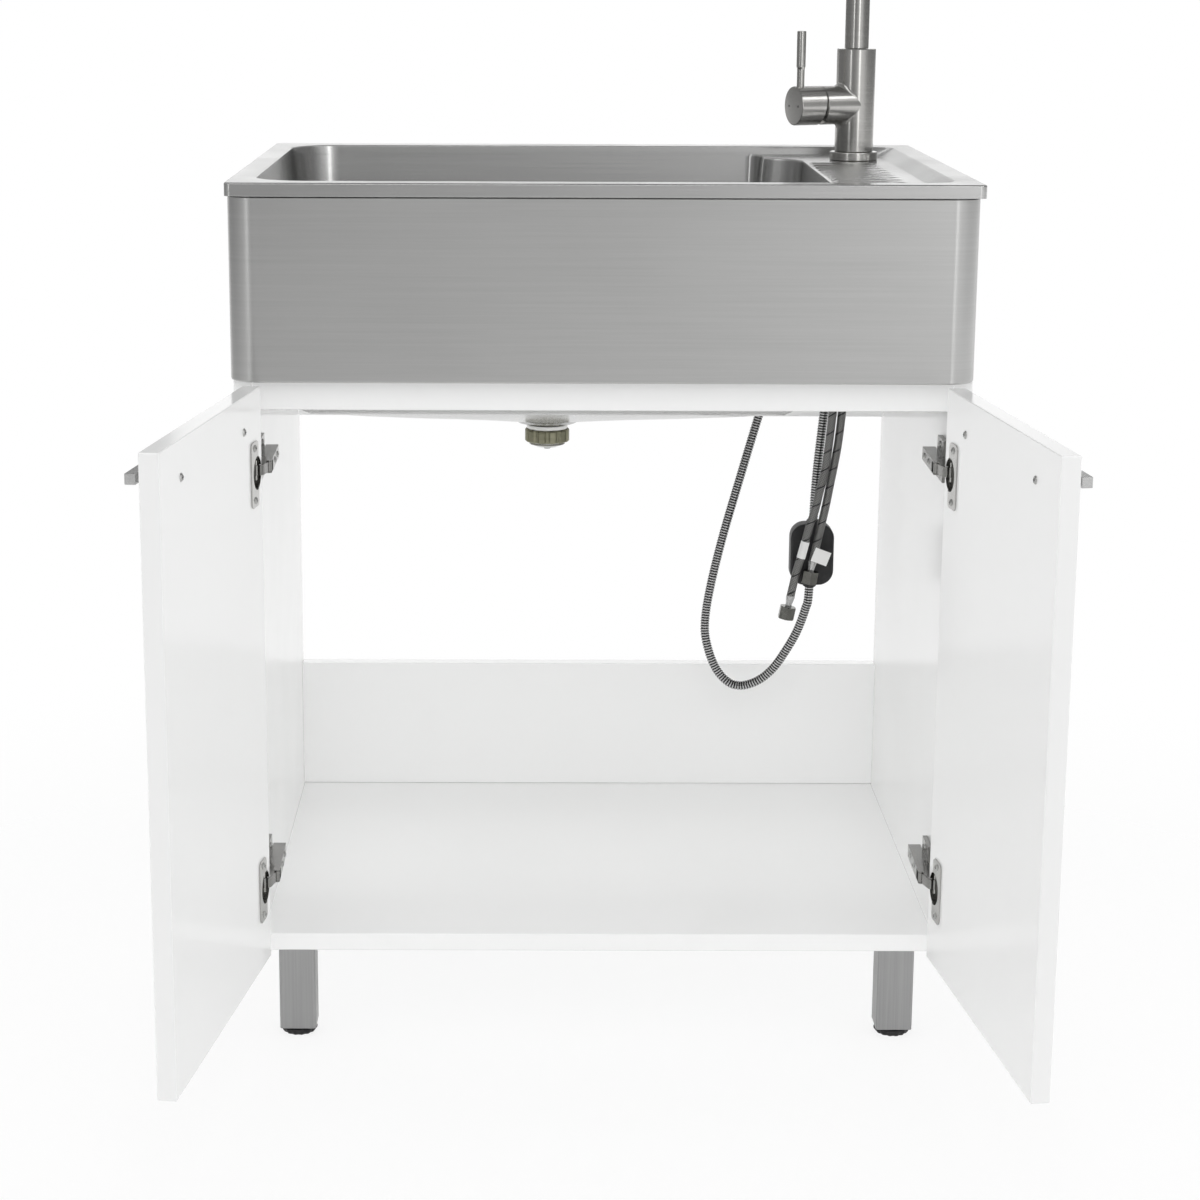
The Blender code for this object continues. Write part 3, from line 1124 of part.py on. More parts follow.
COLD_ROUTE = [
    (281.5, 153.5, HOSE_TOP), (281.5, 153.5, HOSE_STRAIGHT), (281.5, 153.5, HOSE_BELOW),
    (280.5, 150.0, 780.0), (277.0, 147.0, 700.0), (274.0, 146.0, 650.0), (271.0, 146.0, 607.0),
    (267.0, 146.0, 564.0), (264.0, 146.0, 540.0), (259.0, 146.0, 518.0), (254.0, 146.0, 495.0),
    (248.0, 146.0, 475.0), (241.0, 146.0, 446.0), (234.5, 146.0, 422.0), (231.0, 146.0, 406.0),
    (228.8, 146.0, 395.0)]
HOT_ROUTE = [
    (293.5, 153.5, HOSE_TOP), (293.5, 153.5, HOSE_STRAIGHT), (293.5, 153.5, HOSE_BELOW),
    (292.0, 151.0, 780.0), (289.0, 150.0, 700.0), (286.0, 150.0, 650.0), (282.0, 150.0, 606.0),
    (278.0, 150.0, 567.0), (271.0, 150.0, 525.0), (266.0, 150.0, 496.0), (260.0, 150.0, 467.0),
    (256.0, 150.0, 447.0), (254.0, 150.0, 436.0)]


def make_ribbed_hose():
    """The pull-out hose: ribs of two points each along its loop, and a plainer bore cut out of it."""
    path, length = smooth_path(RIBBED_ROUTE, 3.0 * RIBBED_RADIUS)
    pitch = length / RIBBED_RIBS
    ribs, _ = smooth_path(RIBBED_ROUTE, pitch / 2)
    radii = [RIBBED_RADIUS * (RIBBED_VALLEY if number % 2 else 1.0) for number in range(len(ribs))]
    hose = tube("pull_out_hose", ribs, radii, RIBBED_RADIUS, 2, FRAME, BRAID)
    up = Vector((0.0, 0.0, CUT_MARGIN))
    bore = [path[0] + up] + path + [path[-1] + up]
    cut(hose, tube("pull_out_hose_bore", bore, [RIBBED_BORE_RADIUS] * len(bore), RIBBED_BORE_RADIUS, 2, FRAME))
    gap = min(
        (first - second).length - 2 * RIBBED_RADIUS
        for index, first in enumerate(path) for second in path[index + 4:])
    print(f"pull-out hose: {length:.3f} m long, least gap to itself {gap / MM:.2f} mm")


def make_weight():
    """The weight that pulls the hose back: a rounded block clamped round a straight stretch of it."""
    low, high = Vector(WEIGHT_LOW_END) * MM, Vector(WEIGHT_HIGH_END) * MM
    middle = (low + high) / 2
    half_x, half_z = WEIGHT_WIDTH / 2, WEIGHT_HEIGHT / 2
    corners = [
        (-half_x, -half_z, WEIGHT_CORNER), (half_x, -half_z, WEIGHT_CORNER),
        (half_x, half_z, WEIGHT_CORNER), (-half_x, half_z, WEIGHT_CORNER)]
    half_y = WEIGHT_THICKNESS / 2
    rings = []
    edge = half_y - WEIGHT_EDGE
    for depth, inset in ((-half_y, WEIGHT_EDGE), (-edge, 0.0), (edge, 0.0), (half_y, WEIGHT_EDGE)):
        rings.append([
            middle + Vector((point.x, depth, point.y)) for point in rounded_outline(corners, inset)])
    weight = loft("hose_weight", rings, FRAME, BLACK_PLASTIC)
    past = (high - low).normalized() * CUT_MARGIN
    cut(weight, cylinder(
        "weight_bore", RIBBED_RADIUS + WEIGHT_CLEARANCE, low - past, high + past, FRAME, segments=16))


def make_supply_hose(name, route):
    """A braided hose with a crimped ferrule and a union nut at its end."""
    path, length = smooth_path(route, BRAIDED_STEP)
    tube(f"{name}_hose", path, [BRAIDED_RADIUS] * len(path), BRAIDED_RADIUS, 3, FRAME, BRAID)
    way = (path[-1] - path[-2]).normalized()
    start = path[-1] + way * FIT
    nut_start = start + way * FERRULE_LENGTH
    nut_end = nut_start + way * HOSE_NUT_LENGTH
    corner_radius = HOSE_NUT_FLATS / 2 / math.cos(math.pi / 6)
    nut = cylinder(f"{name}_hose_nut", corner_radius, nut_start, nut_end, FRAME, HINGE_STEEL, segments=6)
    fuse(nut, cylinder(f"{name}_ferrule", FERRULE_RADIUS, start, nut_start + way * CUT_MARGIN, FRAME, segments=16))
    cut(nut, cylinder(
        f"{name}_nut_bore", HOSE_NUT_BORE_RADIUS, nut_end - way * HOSE_NUT_BORE_DEPTH,
        nut_end + way * CUT_MARGIN, FRAME, segments=16))
    print(f"{name} hose: {length:.3f} m long")


# Assembly

VALVE_HEIGHT = DECK + VALVE_ABOVE_DECK
VALVE = empty("valve_axis", FRAME, (TAP_X, TAP_Y, VALVE_HEIGHT), math.pi + VALVE_TO_FRONT)
SWIVEL = empty("spout_swivel", FRAME, (TAP_X, TAP_Y, TAP_TOP + FIT), math.pi + SPOUT_TO_FRONT)

make_sink_top()
make_waste()
make_basket()
make_apron()
make_boards()
for leg_end in LEG_Y:
    for leg_side in SIDES:
        make_leg(leg_end, leg_side)
for door_side in SIDES:
    make_door(door_side)
    make_hinge_arms(door_side)
    make_hinge_links(door_side)
make_tap_body()
make_tap_handle()
make_spout()
make_ribbed_hose()
make_weight()
make_supply_hose("cold", COLD_ROUTE)
make_supply_hose("hot", HOT_ROUTE)
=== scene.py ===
import math

import bmesh
import bpy
from mathutils import Matrix, Vector, geometry


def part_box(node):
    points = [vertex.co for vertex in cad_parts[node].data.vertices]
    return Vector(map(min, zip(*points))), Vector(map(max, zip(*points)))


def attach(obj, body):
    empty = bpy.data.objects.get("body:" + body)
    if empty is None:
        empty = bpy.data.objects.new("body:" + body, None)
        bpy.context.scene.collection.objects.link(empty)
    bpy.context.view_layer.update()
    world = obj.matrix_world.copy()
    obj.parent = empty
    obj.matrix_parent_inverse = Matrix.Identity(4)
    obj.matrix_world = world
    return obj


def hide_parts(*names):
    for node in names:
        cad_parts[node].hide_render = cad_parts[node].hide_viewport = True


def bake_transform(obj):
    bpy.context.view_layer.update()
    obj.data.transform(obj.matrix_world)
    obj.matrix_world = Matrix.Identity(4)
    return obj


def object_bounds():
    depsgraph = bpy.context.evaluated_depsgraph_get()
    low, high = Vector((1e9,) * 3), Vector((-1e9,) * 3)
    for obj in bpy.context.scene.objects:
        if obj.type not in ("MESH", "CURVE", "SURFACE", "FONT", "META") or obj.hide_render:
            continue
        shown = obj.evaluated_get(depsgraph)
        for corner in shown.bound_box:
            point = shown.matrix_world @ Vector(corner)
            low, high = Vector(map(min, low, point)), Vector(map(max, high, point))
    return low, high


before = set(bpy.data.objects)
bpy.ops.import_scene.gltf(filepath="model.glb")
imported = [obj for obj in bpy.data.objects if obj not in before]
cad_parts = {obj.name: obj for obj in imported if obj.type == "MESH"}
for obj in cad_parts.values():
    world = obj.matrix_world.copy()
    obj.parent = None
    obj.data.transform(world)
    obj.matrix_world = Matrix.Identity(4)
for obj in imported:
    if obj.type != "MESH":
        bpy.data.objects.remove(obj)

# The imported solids
# Every piece is drawn in metres on the cabinet's own axes, with the middle of the sink top over the origin,
# and is then set over the solids by this one shift.
cad_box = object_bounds()
mm = 0.001
sink_low, sink_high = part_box("sink_top")
origin = Vector(((sink_low.x + sink_high.x) / 2, (sink_low.y + sink_high.y) / 2, 0.0))

# Camera
# It stands in front of the open doors, a little left of the middle and above the rim, and looks down on the
# sink. The lens and the shift are for a square frame, and the shift puts the object where the photograph has
# it.


def swung(degrees, axis):
    """A turn about one axis."""
    return Matrix.Rotation(math.radians(degrees), 4, axis)


def linked(name, data):
    """A new object in the scene."""
    made = bpy.data.objects.new(name, data)
    bpy.context.scene.collection.objects.link(made)
    return made


camera_data = bpy.data.cameras.new("camera")
camera_data.sensor_width = 36.0
camera_data.lens = 79.787
camera_data.shift_x = 0.0509
camera_data.shift_y = -0.0302
camera_data.clip_end = 80.0
camera = linked("camera", camera_data)
camera_place = Vector((-72.2, -2826.3, 1112.8)) * mm + origin
camera.matrix_world = (
    Matrix.Translation(camera_place) @ swung(-0.22, "Z") @ swung(-12.9, "X") @ swung(-0.22, "Y")
    @ swung(90.0, "X"))
bpy.context.scene.camera = camera

# Studio
# A pale floor that runs out into a white surround, soft lamps in front, at the sides and behind, and cards
# that show only where something mirrors them. The light stands at a plain level, so that colours come out
# about as they are written.


def feed(tree, node, inputs):
    """Lead plain values, sockets or the first outputs of other nodes into a node."""
    for key, value in inputs.items():
        if isinstance(value, bpy.types.Node):
            value = value.outputs[0]
        if isinstance(value, bpy.types.NodeSocket):
            tree.links.new(value, node.inputs[key])
        else:
            node.inputs[key].default_value = value
    return node


def add(tree, kind, inputs=None, **settings):
    """A new shader node with its settings and inputs."""
    node = tree.nodes.new("ShaderNode" + kind)
    for key, value in settings.items():
        setattr(node, key, value)
    return feed(tree, node, inputs or {})


def worked(tree, operation, *values):
    """A sum, a product or another working of values."""
    return add(tree, "Math", dict(enumerate(values)), operation=operation)


def emptied(owner):
    """The node tree of a world or a material, without its first nodes."""
    owner.use_nodes = True
    owner.node_tree.nodes.clear()
    return owner.node_tree


def placed(name, bm, finish):
    """An object in the scene from a bmesh, which is used up."""
    mesh = bpy.data.meshes.new(name)
    bm.to_mesh(mesh)
    bm.free()
    mesh.materials.append(finish)
    return linked(name, mesh)


bpy.context.scene.view_settings.view_transform = "Standard"
white = (1.0, 1.0, 1.0, 1.0)
world = bpy.data.worlds.new("surround")
bpy.context.scene.world = world
tree = emptied(world)
ray = add(tree, "LightPath").outputs
seen = worked(tree, "MAXIMUM", ray["Is Camera Ray"], ray["Is Glossy Ray"])
seen = worked(tree, "MAXIMUM", seen, ray["Is Transmission Ray"])
soft_fill = add(tree, "Background", {"Color": white, "Strength": 0.58})
white_surround = add(tree, "Background", {"Color": white, "Strength": 1.0})
surround = add(tree, "MixShader", {"Fac": seen, 1: soft_fill, 2: white_surround})
add(tree, "OutputWorld", {"Surface": surround})

floor_paint = bpy.data.materials.new("pale_floor")
tree = emptied(floor_paint)
ray = add(tree, "LightPath").outputs
coat = add(tree, "BsdfDiffuse", {"Color": (0.93, 0.93, 0.93, 1.0)})
glow = add(tree, "Emission", {"Color": white})
paler = worked(tree, "MULTIPLY", ray["Is Camera Ray"], 0.8)
seen = add(tree, "MixShader", {"Fac": paler, 1: coat, 2: glow})
place = add(tree, "TexCoord").outputs["Object"]
from_middle = add(tree, "VectorMath", {0: place}, operation="LENGTH").outputs["Value"]
runs_out = add(tree, "MapRange", {"Value": from_middle, "From Min": 0.6, "From Max": 1.6},
               interpolation_type="SMOOTHSTEP")
floor_mix = add(tree, "MixShader", {"Fac": runs_out, 1: seen, 2: add(tree, "BsdfTransparent")})
add(tree, "OutputMaterial", {"Surface": floor_mix})
bm = bmesh.new()
bmesh.ops.create_circle(bm, cap_ends=True, segments=96, radius=1.7)
bmesh.ops.translate(bm, vec=(0.0, 0.05, -0.0002), verts=bm.verts)
placed("floor", bm, floor_paint)


def uv_parts(tree, layer):
    """The two parts of a piece's own UV layer."""
    return add(tree, "SeparateXYZ", {0: add(tree, "UVMap", uv_map=layer)}).outputs


def ramp(tree, stops, share):
    """A grey level that goes from stop to stop (share, level)."""
    made = add(tree, "ValToRGB", {"Fac": share})
    elements = made.color_ramp.elements
    while len(elements) < len(stops):
        elements.new(1.0)
    for element, (position, level) in zip(elements, stops):
        element.position = position
        element.color = (level, level, level, 1.0)
    return made


def studio_card(name, levels, middle, size, lean=90.0, turn=0.0, roll=0.0):
    """A card with bright and grey strips across its width. It is only mirrored, and lights nothing else."""
    paint = bpy.data.materials.new(name)
    tree = emptied(paint)
    strips = ramp(tree, levels, uv_parts(tree, "across")["X"])
    add(tree, "OutputMaterial", {"Surface": add(tree, "Emission", {"Color": strips})})
    bm = bmesh.new()
    bm.loops.layers.uv.new("across")
    bmesh.ops.create_grid(bm, x_segments=1, y_segments=1, size=0.5, calc_uvs=True)
    bmesh.ops.scale(bm, vec=(*size, 1.0), verts=bm.verts)
    way = Matrix.Translation(middle) @ swung(turn, "Z") @ swung(lean, "X") @ swung(roll, "Z")
    bmesh.ops.transform(bm, matrix=way, verts=bm.verts)
    card = placed(name, bm, paint)
    card.visible_camera = False
    card.visible_diffuse = False
    card.visible_transmission = False
    card.visible_shadow = False


front_strips = (
    (0.0, 0.45), (0.095, 0.45), (0.118, 3.0), (0.165, 3.0), (0.19, 0.28), (0.35, 0.3), (0.41, 0.42),
    (0.5, 0.52), (0.565, 0.66), (0.62, 0.95), (0.655, 1.1), (0.668, 3.6), (0.71, 3.6), (0.73, 1.1),
    (0.85, 0.85), (1.0, 0.7))
front_low_strips = (
    (0.0, 0.62), (0.25, 0.6), (0.34, 0.52), (0.395, 0.34), (0.43, 0.37), (0.47, 0.46), (0.5, 0.52),
    (0.565, 0.66), (0.62, 0.95), (0.66, 1.12), (1.0, 1.25))
left_strips = ((0.0, 0.45), (0.4, 0.26), (1.0, 0.22))
left_low_strips = ((0.0, 0.62), (0.35, 0.55), (0.6, 0.45), (1.0, 0.45))
right_strips = ((0.0, 0.66), (0.2, 0.4), (0.35, 0.24), (1.0, 0.22))
back_strips = (
    (0.0, 1.0), (0.1, 1.4), (0.42, 1.4), (0.47, 0.36), (0.62, 0.36), (0.72, 0.7), (0.84, 0.75), (0.86, 2.6),
    (0.94, 2.6), (0.96, 0.75), (1.0, 0.75))
back_side_strips = ((0.0, 0.25), (0.32, 0.25), (0.5, 0.6), (1.0, 0.7))
above_strips = ((0.0, 0.26), (0.16, 0.26), (0.175, 2.6), (0.28, 2.6), (0.295, 0.26), (0.6, 0.34), (1.0, 0.5))
studio_card("card_front", front_strips, (0.0, -4.6, 1.96), (9.2, 2.76))
studio_card("card_front_low", front_low_strips, (0.0, -4.6, 0.26), (9.2, 0.64))
studio_card("card_left", left_strips, (-4.6, 0.0, 1.88), (9.2, 2.64), turn=90.0)
studio_card("card_left_low", left_low_strips, (-4.6, 0.0, 0.18), (9.2, 0.76), turn=90.0)
studio_card("card_right", right_strips, (4.6, 0.0, 1.88), (9.2, 2.64), turn=90.0)
studio_card("card_right_low", ((0.0, 1.3), (1.0, 1.3)), (4.6, 0.0, 0.18), (9.2, 0.76), turn=90.0)
studio_card("card_back", back_strips, (0.2, 4.2, 1.8), (3.6, 2.4), roll=90.0)
studio_card("card_back_left", back_side_strips, (-2.8, 4.3, 2.1), (2.7, 3.6), roll=90.0)
studio_card("card_back_right", back_side_strips, (3.0, 4.3, 2.1), (2.7, 3.2), roll=90.0)
studio_card("card_above", above_strips, (0.0, -0.15, 3.3), (8.7, 7.0), lean=0.0, turn=90.0)
studio_card("card_box", ((0.0, 4.0), (1.0, 4.0)), (2.6, -1.0, 3.2), (0.7, 1.0), lean=0.0)


def along(run, axis="Z"):
    """A turn that leads one axis along a direction."""
    return run.to_track_quat(axis, "Y").to_matrix().to_4x4()


def soft_lamp(name, place, aim, size, power, shadow):
    """A square soft box that isn't mirrored. One without a shadow reaches into the cabinet."""
    lamp_data = bpy.data.lights.new(name, "AREA")
    lamp_data.shape = "SQUARE"
    lamp_data.size = size
    lamp_data.energy = power
    lamp_data.use_shadow = shadow
    lamp = linked(name, lamp_data)
    lamp.matrix_world = Matrix.Translation(place) @ along(Vector(aim) - Vector(place), "-Z")
    lamp.visible_camera = False
    lamp.visible_glossy = False


soft_lamp("front_lamp", (0.0, -2.5, 2.5), (0.0, 0.1, 0.3), 2.0, 15.0, True)
soft_lamp("right_lamp", (3.2, -1.74, 2.1), (0.0, 0.0, 0.4), 1.6, 46.0, False)
soft_lamp("left_lamp", (-3.2, -1.74, 2.1), (0.0, 0.0, 0.4), 1.6, 39.0, False)
soft_lamp("back_lamp", (0.0, 2.4, 1.9), (0.0, 0.0, 0.2), 2.0, 14.0, True)

# Legs
# Square tubes of thin brushed steel, 38 mm across, with rounded corners. A plate welded on top is screwed to
# the underside of the bottom panel.


def brushed_lines():
    """A group that gives fine drawn lines and slower handling marks, from stretched coordinates."""
    made = bpy.data.node_groups.new("brushed_lines", "ShaderNodeTree")
    for name in ("Lines", "Marks"):
        made.interface.new_socket(f"{name} Vector", in_out="INPUT", socket_type="NodeSocketVector")
        made.interface.new_socket(name, in_out="OUTPUT", socket_type="NodeSocketFloat")
    start = made.nodes.new("NodeGroupInput").outputs
    lines = {"Vector": start["Lines Vector"], "Scale": 1.0, "Detail": 4.0, "Roughness": 0.65}
    marks = {"Vector": start["Marks Vector"], "Scale": 7.0, "Detail": 5.0}
    feed(made, made.nodes.new("NodeGroupOutput"),
         {"Lines": add(made, "TexNoise", lines), "Marks": add(made, "TexNoise", marks)})
    return made


def new_finish(name):
    """A new material and its node tree."""
    made = bpy.data.materials.new(name)
    made.use_nodes = True
    return made, made.node_tree


def blended(tree, share, first, second):
    """A colour between two others."""
    return add(tree, "Mix", {"Factor": share, "A": first, "B": second}, data_type="RGBA").outputs["Result"]


def dress(tree, colour, gloss, rough, height, depth, reach, span=(0.0, 1.0)):
    """Lead a colour, a range of roughness and a bump into a material's own shader."""
    sheen = add(tree, "MapRange", {"Value": gloss, "From Min": span[0], "From Max": span[1],
                                   "To Min": rough[0], "To Max": rough[1]})
    bump = add(tree, "Bump", {"Strength": depth, "Distance": reach, "Height": height})
    feed(tree, tree.nodes["Principled BSDF"], {"Base Color": colour, "Roughness": sheen, "Normal": bump})


drawn_lines = brushed_lines()


def brushed_steel(name, dark, light, stretch, turn=0.0, rough=(0.28, 0.38), anisotropy=0.4, swing=0.25,
                  depth=0.08):
    """Brushed metal: drawn lines in tone and bump, handling marks in its gloss."""
    made, tree = new_finish(name)
    feed(tree, tree.nodes["Principled BSDF"],
         {"Metallic": 1.0, "Anisotropic": anisotropy, "Anisotropic Rotation": swing})
    place = add(tree, "TexCoord").outputs["Object"]
    aligned = add(tree, "Mapping", {"Vector": place, "Rotation": (0.0, 0.0, turn)})
    drawn = add(tree, "Mapping", {"Vector": aligned, "Scale": stretch})
    marked = add(tree, "Group", {"Lines Vector": drawn, "Marks Vector": place}, node_tree=drawn_lines)
    lines = marked.outputs["Lines"]
    colour = blended(tree, lines, (*dark, 1.0), (*light, 1.0))
    dress(tree, colour, marked.outputs["Marks"], rough, lines, depth, 0.0004, (0.3, 0.7))
    return made


def soften(bm, width, segments=2, least=40.0):
    """Break every edge that is sharper than an angle."""
    sharp = []
    for edge in bm.edges:
        if len(edge.link_faces) == 2 and edge.calc_face_angle(0.0) > math.radians(least):
            sharp.append(edge)
    bmesh.ops.bevel(
        bm, geom=sharp, offset=width, offset_type="OFFSET", segments=segments, profile=0.5, affect="EDGES",
        clamp_overlap=True, material=-1)


def show(name, bm, body, finish, slot, *nodes, sharp=32.0, way=None):
    """Set a piece into the frame: its place, finish, body and the solids that it stands for."""
    if way is not None:
        bmesh.ops.transform(bm, matrix=way, verts=bm.verts)
    bmesh.ops.translate(bm, vec=origin, verts=bm.verts)
    piece = placed(name, bm, finish)
    piece.data.shade_smooth()
    piece.data.set_sharp_from_angle(angle=math.radians(sharp))
    even = piece.modifiers.new("even_shading", "WEIGHTED_NORMAL")
    even.keep_sharp = True
    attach(piece, body)
    if nodes:
        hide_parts(*nodes)
    return piece


def block(low, high):
    """A bmesh block between two corners in millimetres."""
    made = bmesh.new()
    bmesh.ops.create_cube(made, size=1.0)
    size = [(b - a) * mm for a, b in zip(low, high)]
    middle = [(a + b) / 2 * mm for a, b in zip(low, high)]
    bmesh.ops.scale(made, vec=size, verts=made.verts)
    bmesh.ops.translate(made, vec=middle, verts=made.verts)
    return made


def edges_along(bm, axis):
    """The edges of a block that run along one axis."""
    found = []
    for edge in bm.edges:
        run = edge.verts[1].co - edge.verts[0].co
        if abs(run[axis]) > 0.99 * run.length:
            found.append(edge)
    return found


def round_along(bm, axis, radius, segments):
    """Round the edges of a block that run along one axis."""
    bmesh.ops.bevel(
        bm, geom=edges_along(bm, axis), offset=radius * mm, segments=segments, profile=0.5, affect="EDGES",
        material=-1)


leg_steel = brushed_steel(
    "leg_steel", (0.31, 0.31, 0.31), (0.44, 0.44, 0.44), (500.0, 500.0, 5.0), rough=(0.28, 0.4), swing=0.0)
side_signs = {"left": -1, "right": 1}
leg_out, leg_half, leg_low, leg_high, leg_round = 314.0, 19.0, 8.6, 115.7, 3.0
leg_places = {}
for end, y in (("front", -184.0), ("rear", 205.5)):
    for side, sign in side_signs.items():
        leg_places[f"{end}_{side}"] = (sign * leg_out, y)
for leg, (x, y) in leg_places.items():
    bm = block((x - leg_half, y - leg_half, leg_low), (x + leg_half, y + leg_half, leg_high))
    round_along(bm, 2, leg_round, 5)
    soften(bm, 0.5 * mm, 2, 60.0)
    show(f"{leg}_leg_tube", bm, "cabinet", leg_steel, "leg_steel", f"{leg}_leg")

# Adjustable feet
# Moulded black plastic discs with a gripped edge, each on a threaded stem that screws into the leg to level
# the cabinet.


def moved(x, y=0.0, z=0.0):
    """A shift in millimetres."""
    return Matrix.Translation((x * mm, y * mm, z * mm))


up = (0.0, 0.0, 1.0)


def turned(profile, steps=48):
    """A turned bmesh from points (radius, height) in millimetres; ends that lie on the axis close."""
    made = bmesh.new()
    points = [made.verts.new((radius * mm, 0.0, height * mm)) for radius, height in profile]
    edges = [made.edges.new(pair) for pair in zip(points, points[1:])]
    bmesh.ops.spin(
        made, geom=points + edges, cent=(0.0, 0.0, 0.0), axis=up, angle=math.tau, steps=steps,
        use_merge=True, use_duplicate=False)
    bmesh.ops.remove_doubles(made, verts=made.verts, dist=0.000001)
    bmesh.ops.recalc_face_normals(made, faces=made.faces)
    return made


def thread(low, pitch, count, crest, root):
    """Points of a turned thread, from its lowest crest up."""
    points = []
    for tooth in range(count):
        points += [(crest, low + pitch * tooth), (root, low + pitch * (tooth + 0.5))]
    return points


def draw_in(vert, share):
    """Move a point towards the upright axis."""
    vert.co.x *= share
    vert.co.y *= share


def joined(*parts):
    """One bmesh from several, which are used up."""
    whole = bmesh.new()
    for part in parts:
        carrier = bpy.data.meshes.new("joining")
        part.to_mesh(carrier)
        part.free()
        whole.from_mesh(carrier)
        bpy.data.meshes.remove(carrier)
    return whole


def grained(name, dark, light, rough, grain, depth, cloud=60.0, detail=4.0):
    """A plain surface: a fine grain in the bump and a faint cloud in tone and gloss."""
    made, tree = new_finish(name)
    place = add(tree, "TexCoord").outputs["Object"]
    clouds = add(tree, "TexNoise", {"Vector": place, "Scale": cloud, "Detail": detail})
    grains = add(tree, "TexNoise", {"Vector": place, "Scale": grain, "Detail": 2.0})
    colour = blended(tree, clouds, (*dark, 1.0), (*light, 1.0))
    dress(tree, colour, clouds, rough, grains, depth, 0.0003)
    return made


black_plastic = grained(
    "black_plastic", (0.006, 0.006, 0.0065), (0.015, 0.015, 0.016), (0.38, 0.55), 1400.0, 0.25)
foot_disc = [(0.0, 0.0), (15.5, 0.0), (16.6, 0.5), (18.6, 3.0), (19.0, 4.0), (19.0, 5.8), (18.4, 6.6),
             (11.0, 8.0), (10.0, 8.3), (0.0, 8.3)]
foot_stem = [(0.0, 6.0), (4.4, 6.0), *thread(9.0, 1.5, 22, 5.0, 4.4), (4.2, 42.3), (0.0, 42.3)]
grip_count, grip_depth, grip_from = 14, 0.6, 14.0
for leg, (x, y) in leg_places.items():
    disc = turned(foot_disc, 112)
    for vert in disc.verts:
        if vert.co.xy.length > grip_from * mm:
            around = math.atan2(vert.co.y, vert.co.x)
            draw_in(vert, 1.0 - grip_depth * mm * (1.0 - math.cos(grip_count * around)) / vert.co.xy.length)
    foot = f"{leg}_foot"
    show(f"{foot}_disc", joined(disc, turned(foot_stem, 24)), foot, black_plastic, "black_plastic", foot,
         way=moved(x, y))

# Cabinet boards
# 18 mm chipboard with a white high-gloss laminate on the faces and matching bands ironed on the edges, held
# together by dowels and cam bolts. Sides, bottom, a low back and two rails tie the open box. The laminate
# has a faint orange peel and a breath of tone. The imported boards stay, and only get this finish.
white_board = grained(
    "white_gloss_board", (0.885, 0.888, 0.886), (0.915, 0.916, 0.912), (0.1, 0.2), 160.0, 0.04, cloud=3.0,
    detail=3.0)
for board in ("left_side_panel", "right_side_panel", "bottom_panel", "low_back_panel", "front_rail",
              "back_rail", "left_door", "right_door"):
    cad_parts[board].material_slots[0].material = white_board

# Apron
# Thin brushed stainless sheet folded round the front and the sides of the sink, open at the back. A lip
# turned in along its lower edge stands on the cabinet, and its top edge is held inside the sink's rim.


def ring(bm, corners, height, steps):
    """A level outline from a few corners (x, y, radius) in millimetres, each rounded by its own bevel."""
    before = set(bm.edges)
    points = [bm.verts.new((x * mm, y * mm, height * mm)) for x, y, radius in corners]
    bm.faces.new(points)
    for point, (x, y, radius) in zip(points, corners):
        bmesh.ops.bevel(
            bm, geom=[point], offset=radius * mm, offset_type="OFFSET", segments=steps, profile=0.5,
            affect="VERTICES", clamp_overlap=False, material=-1)
    outline = [edge for edge in bm.edges if edge not in before]
    lids = {face for edge in outline for face in edge.link_faces}
    bmesh.ops.delete(bm, geom=list(lids), context="FACES_ONLY")
    return outline


def four_corners(left, right, front, back, left_radius, right_radius):
    """The corners of a rectangle whose two ends have their own radius."""
    return [(left, front, left_radius), (right, front, right_radius), (right, back, right_radius),
            (left, back, left_radius)]


def bridged(bm, rings):
    """Skin a row of outlines one after the other."""
    for first, second in zip(rings, rings[1:]):
        bmesh.ops.bridge_loops(bm, edges=first + second)


def points_of(edges):
    """The points of some edges."""
    return {vert for edge in edges for vert in edge.verts}


def face_out(bm, key, way):
    """Turn a skin so that its face with the greatest key looks a given way."""
    bmesh.ops.recalc_face_normals(bm, faces=bm.faces)
    if max(bm.faces, key=key).normal.dot(Vector(way)) < 0.0:
        bmesh.ops.reverse_faces(bm, faces=bm.faces)


def sheet_metal(piece, thickness):
    """Give a skin the thickness of its sheet, behind the side that shows."""
    made = piece.modifiers.new("sheet", "SOLIDIFY")
    made.thickness = thickness * mm
    made.offset = -1.0
    piece.modifiers.move(len(piece.modifiers) - 1, 0)


def apron_corners(inset):
    """The apron's outline, run on past its open back."""
    return four_corners(-364.2 + inset, 362.4 - inset, -273.0 + inset, 310.0, 27.0 - inset, 27.0 - inset)


apron_steel = brushed_steel(
    "apron_steel", (0.43, 0.43, 0.425), (0.52, 0.52, 0.515), (5.0, 5.0, 420.0), rough=(0.28, 0.37),
    anisotropy=0.55, depth=0.06)
apron_foot, apron_back, sheet = 707.0, 269.7, 1.2
bm = bmesh.new()
# The lip is drawn lower than it lies, because two outlines at one level would be skinned with a twist
lip_edge = ring(bm, apron_corners(14.0), 690.0, 16)
apron_rings = [ring(bm, apron_corners(inset), height, 16) for inset, height in (
    (0.9, 898.5), (0.9, 886.5), (0.0, 885.3), (0.0, 709.0), (0.6, 707.6), (2.0, apron_foot))]
bridged(bm, apron_rings + [lip_edge])
for vert in points_of(lip_edge):
    vert.co.z = apron_foot * mm
bmesh.ops.bisect_plane(
    bm, geom=bm.verts[:] + bm.edges[:] + bm.faces[:], plane_co=(0.0, apron_back * mm, 0.0),
    plane_no=(0.0, 1.0, 0.0), clear_outer=True)
face_out(bm, lambda face: face.calc_area(), (0.0, -1.0, 0.0))
sheet_metal(show("apron_sheet", bm, "cabinet", apron_steel, "brushed_sink_steel", "sink_apron"), sheet)

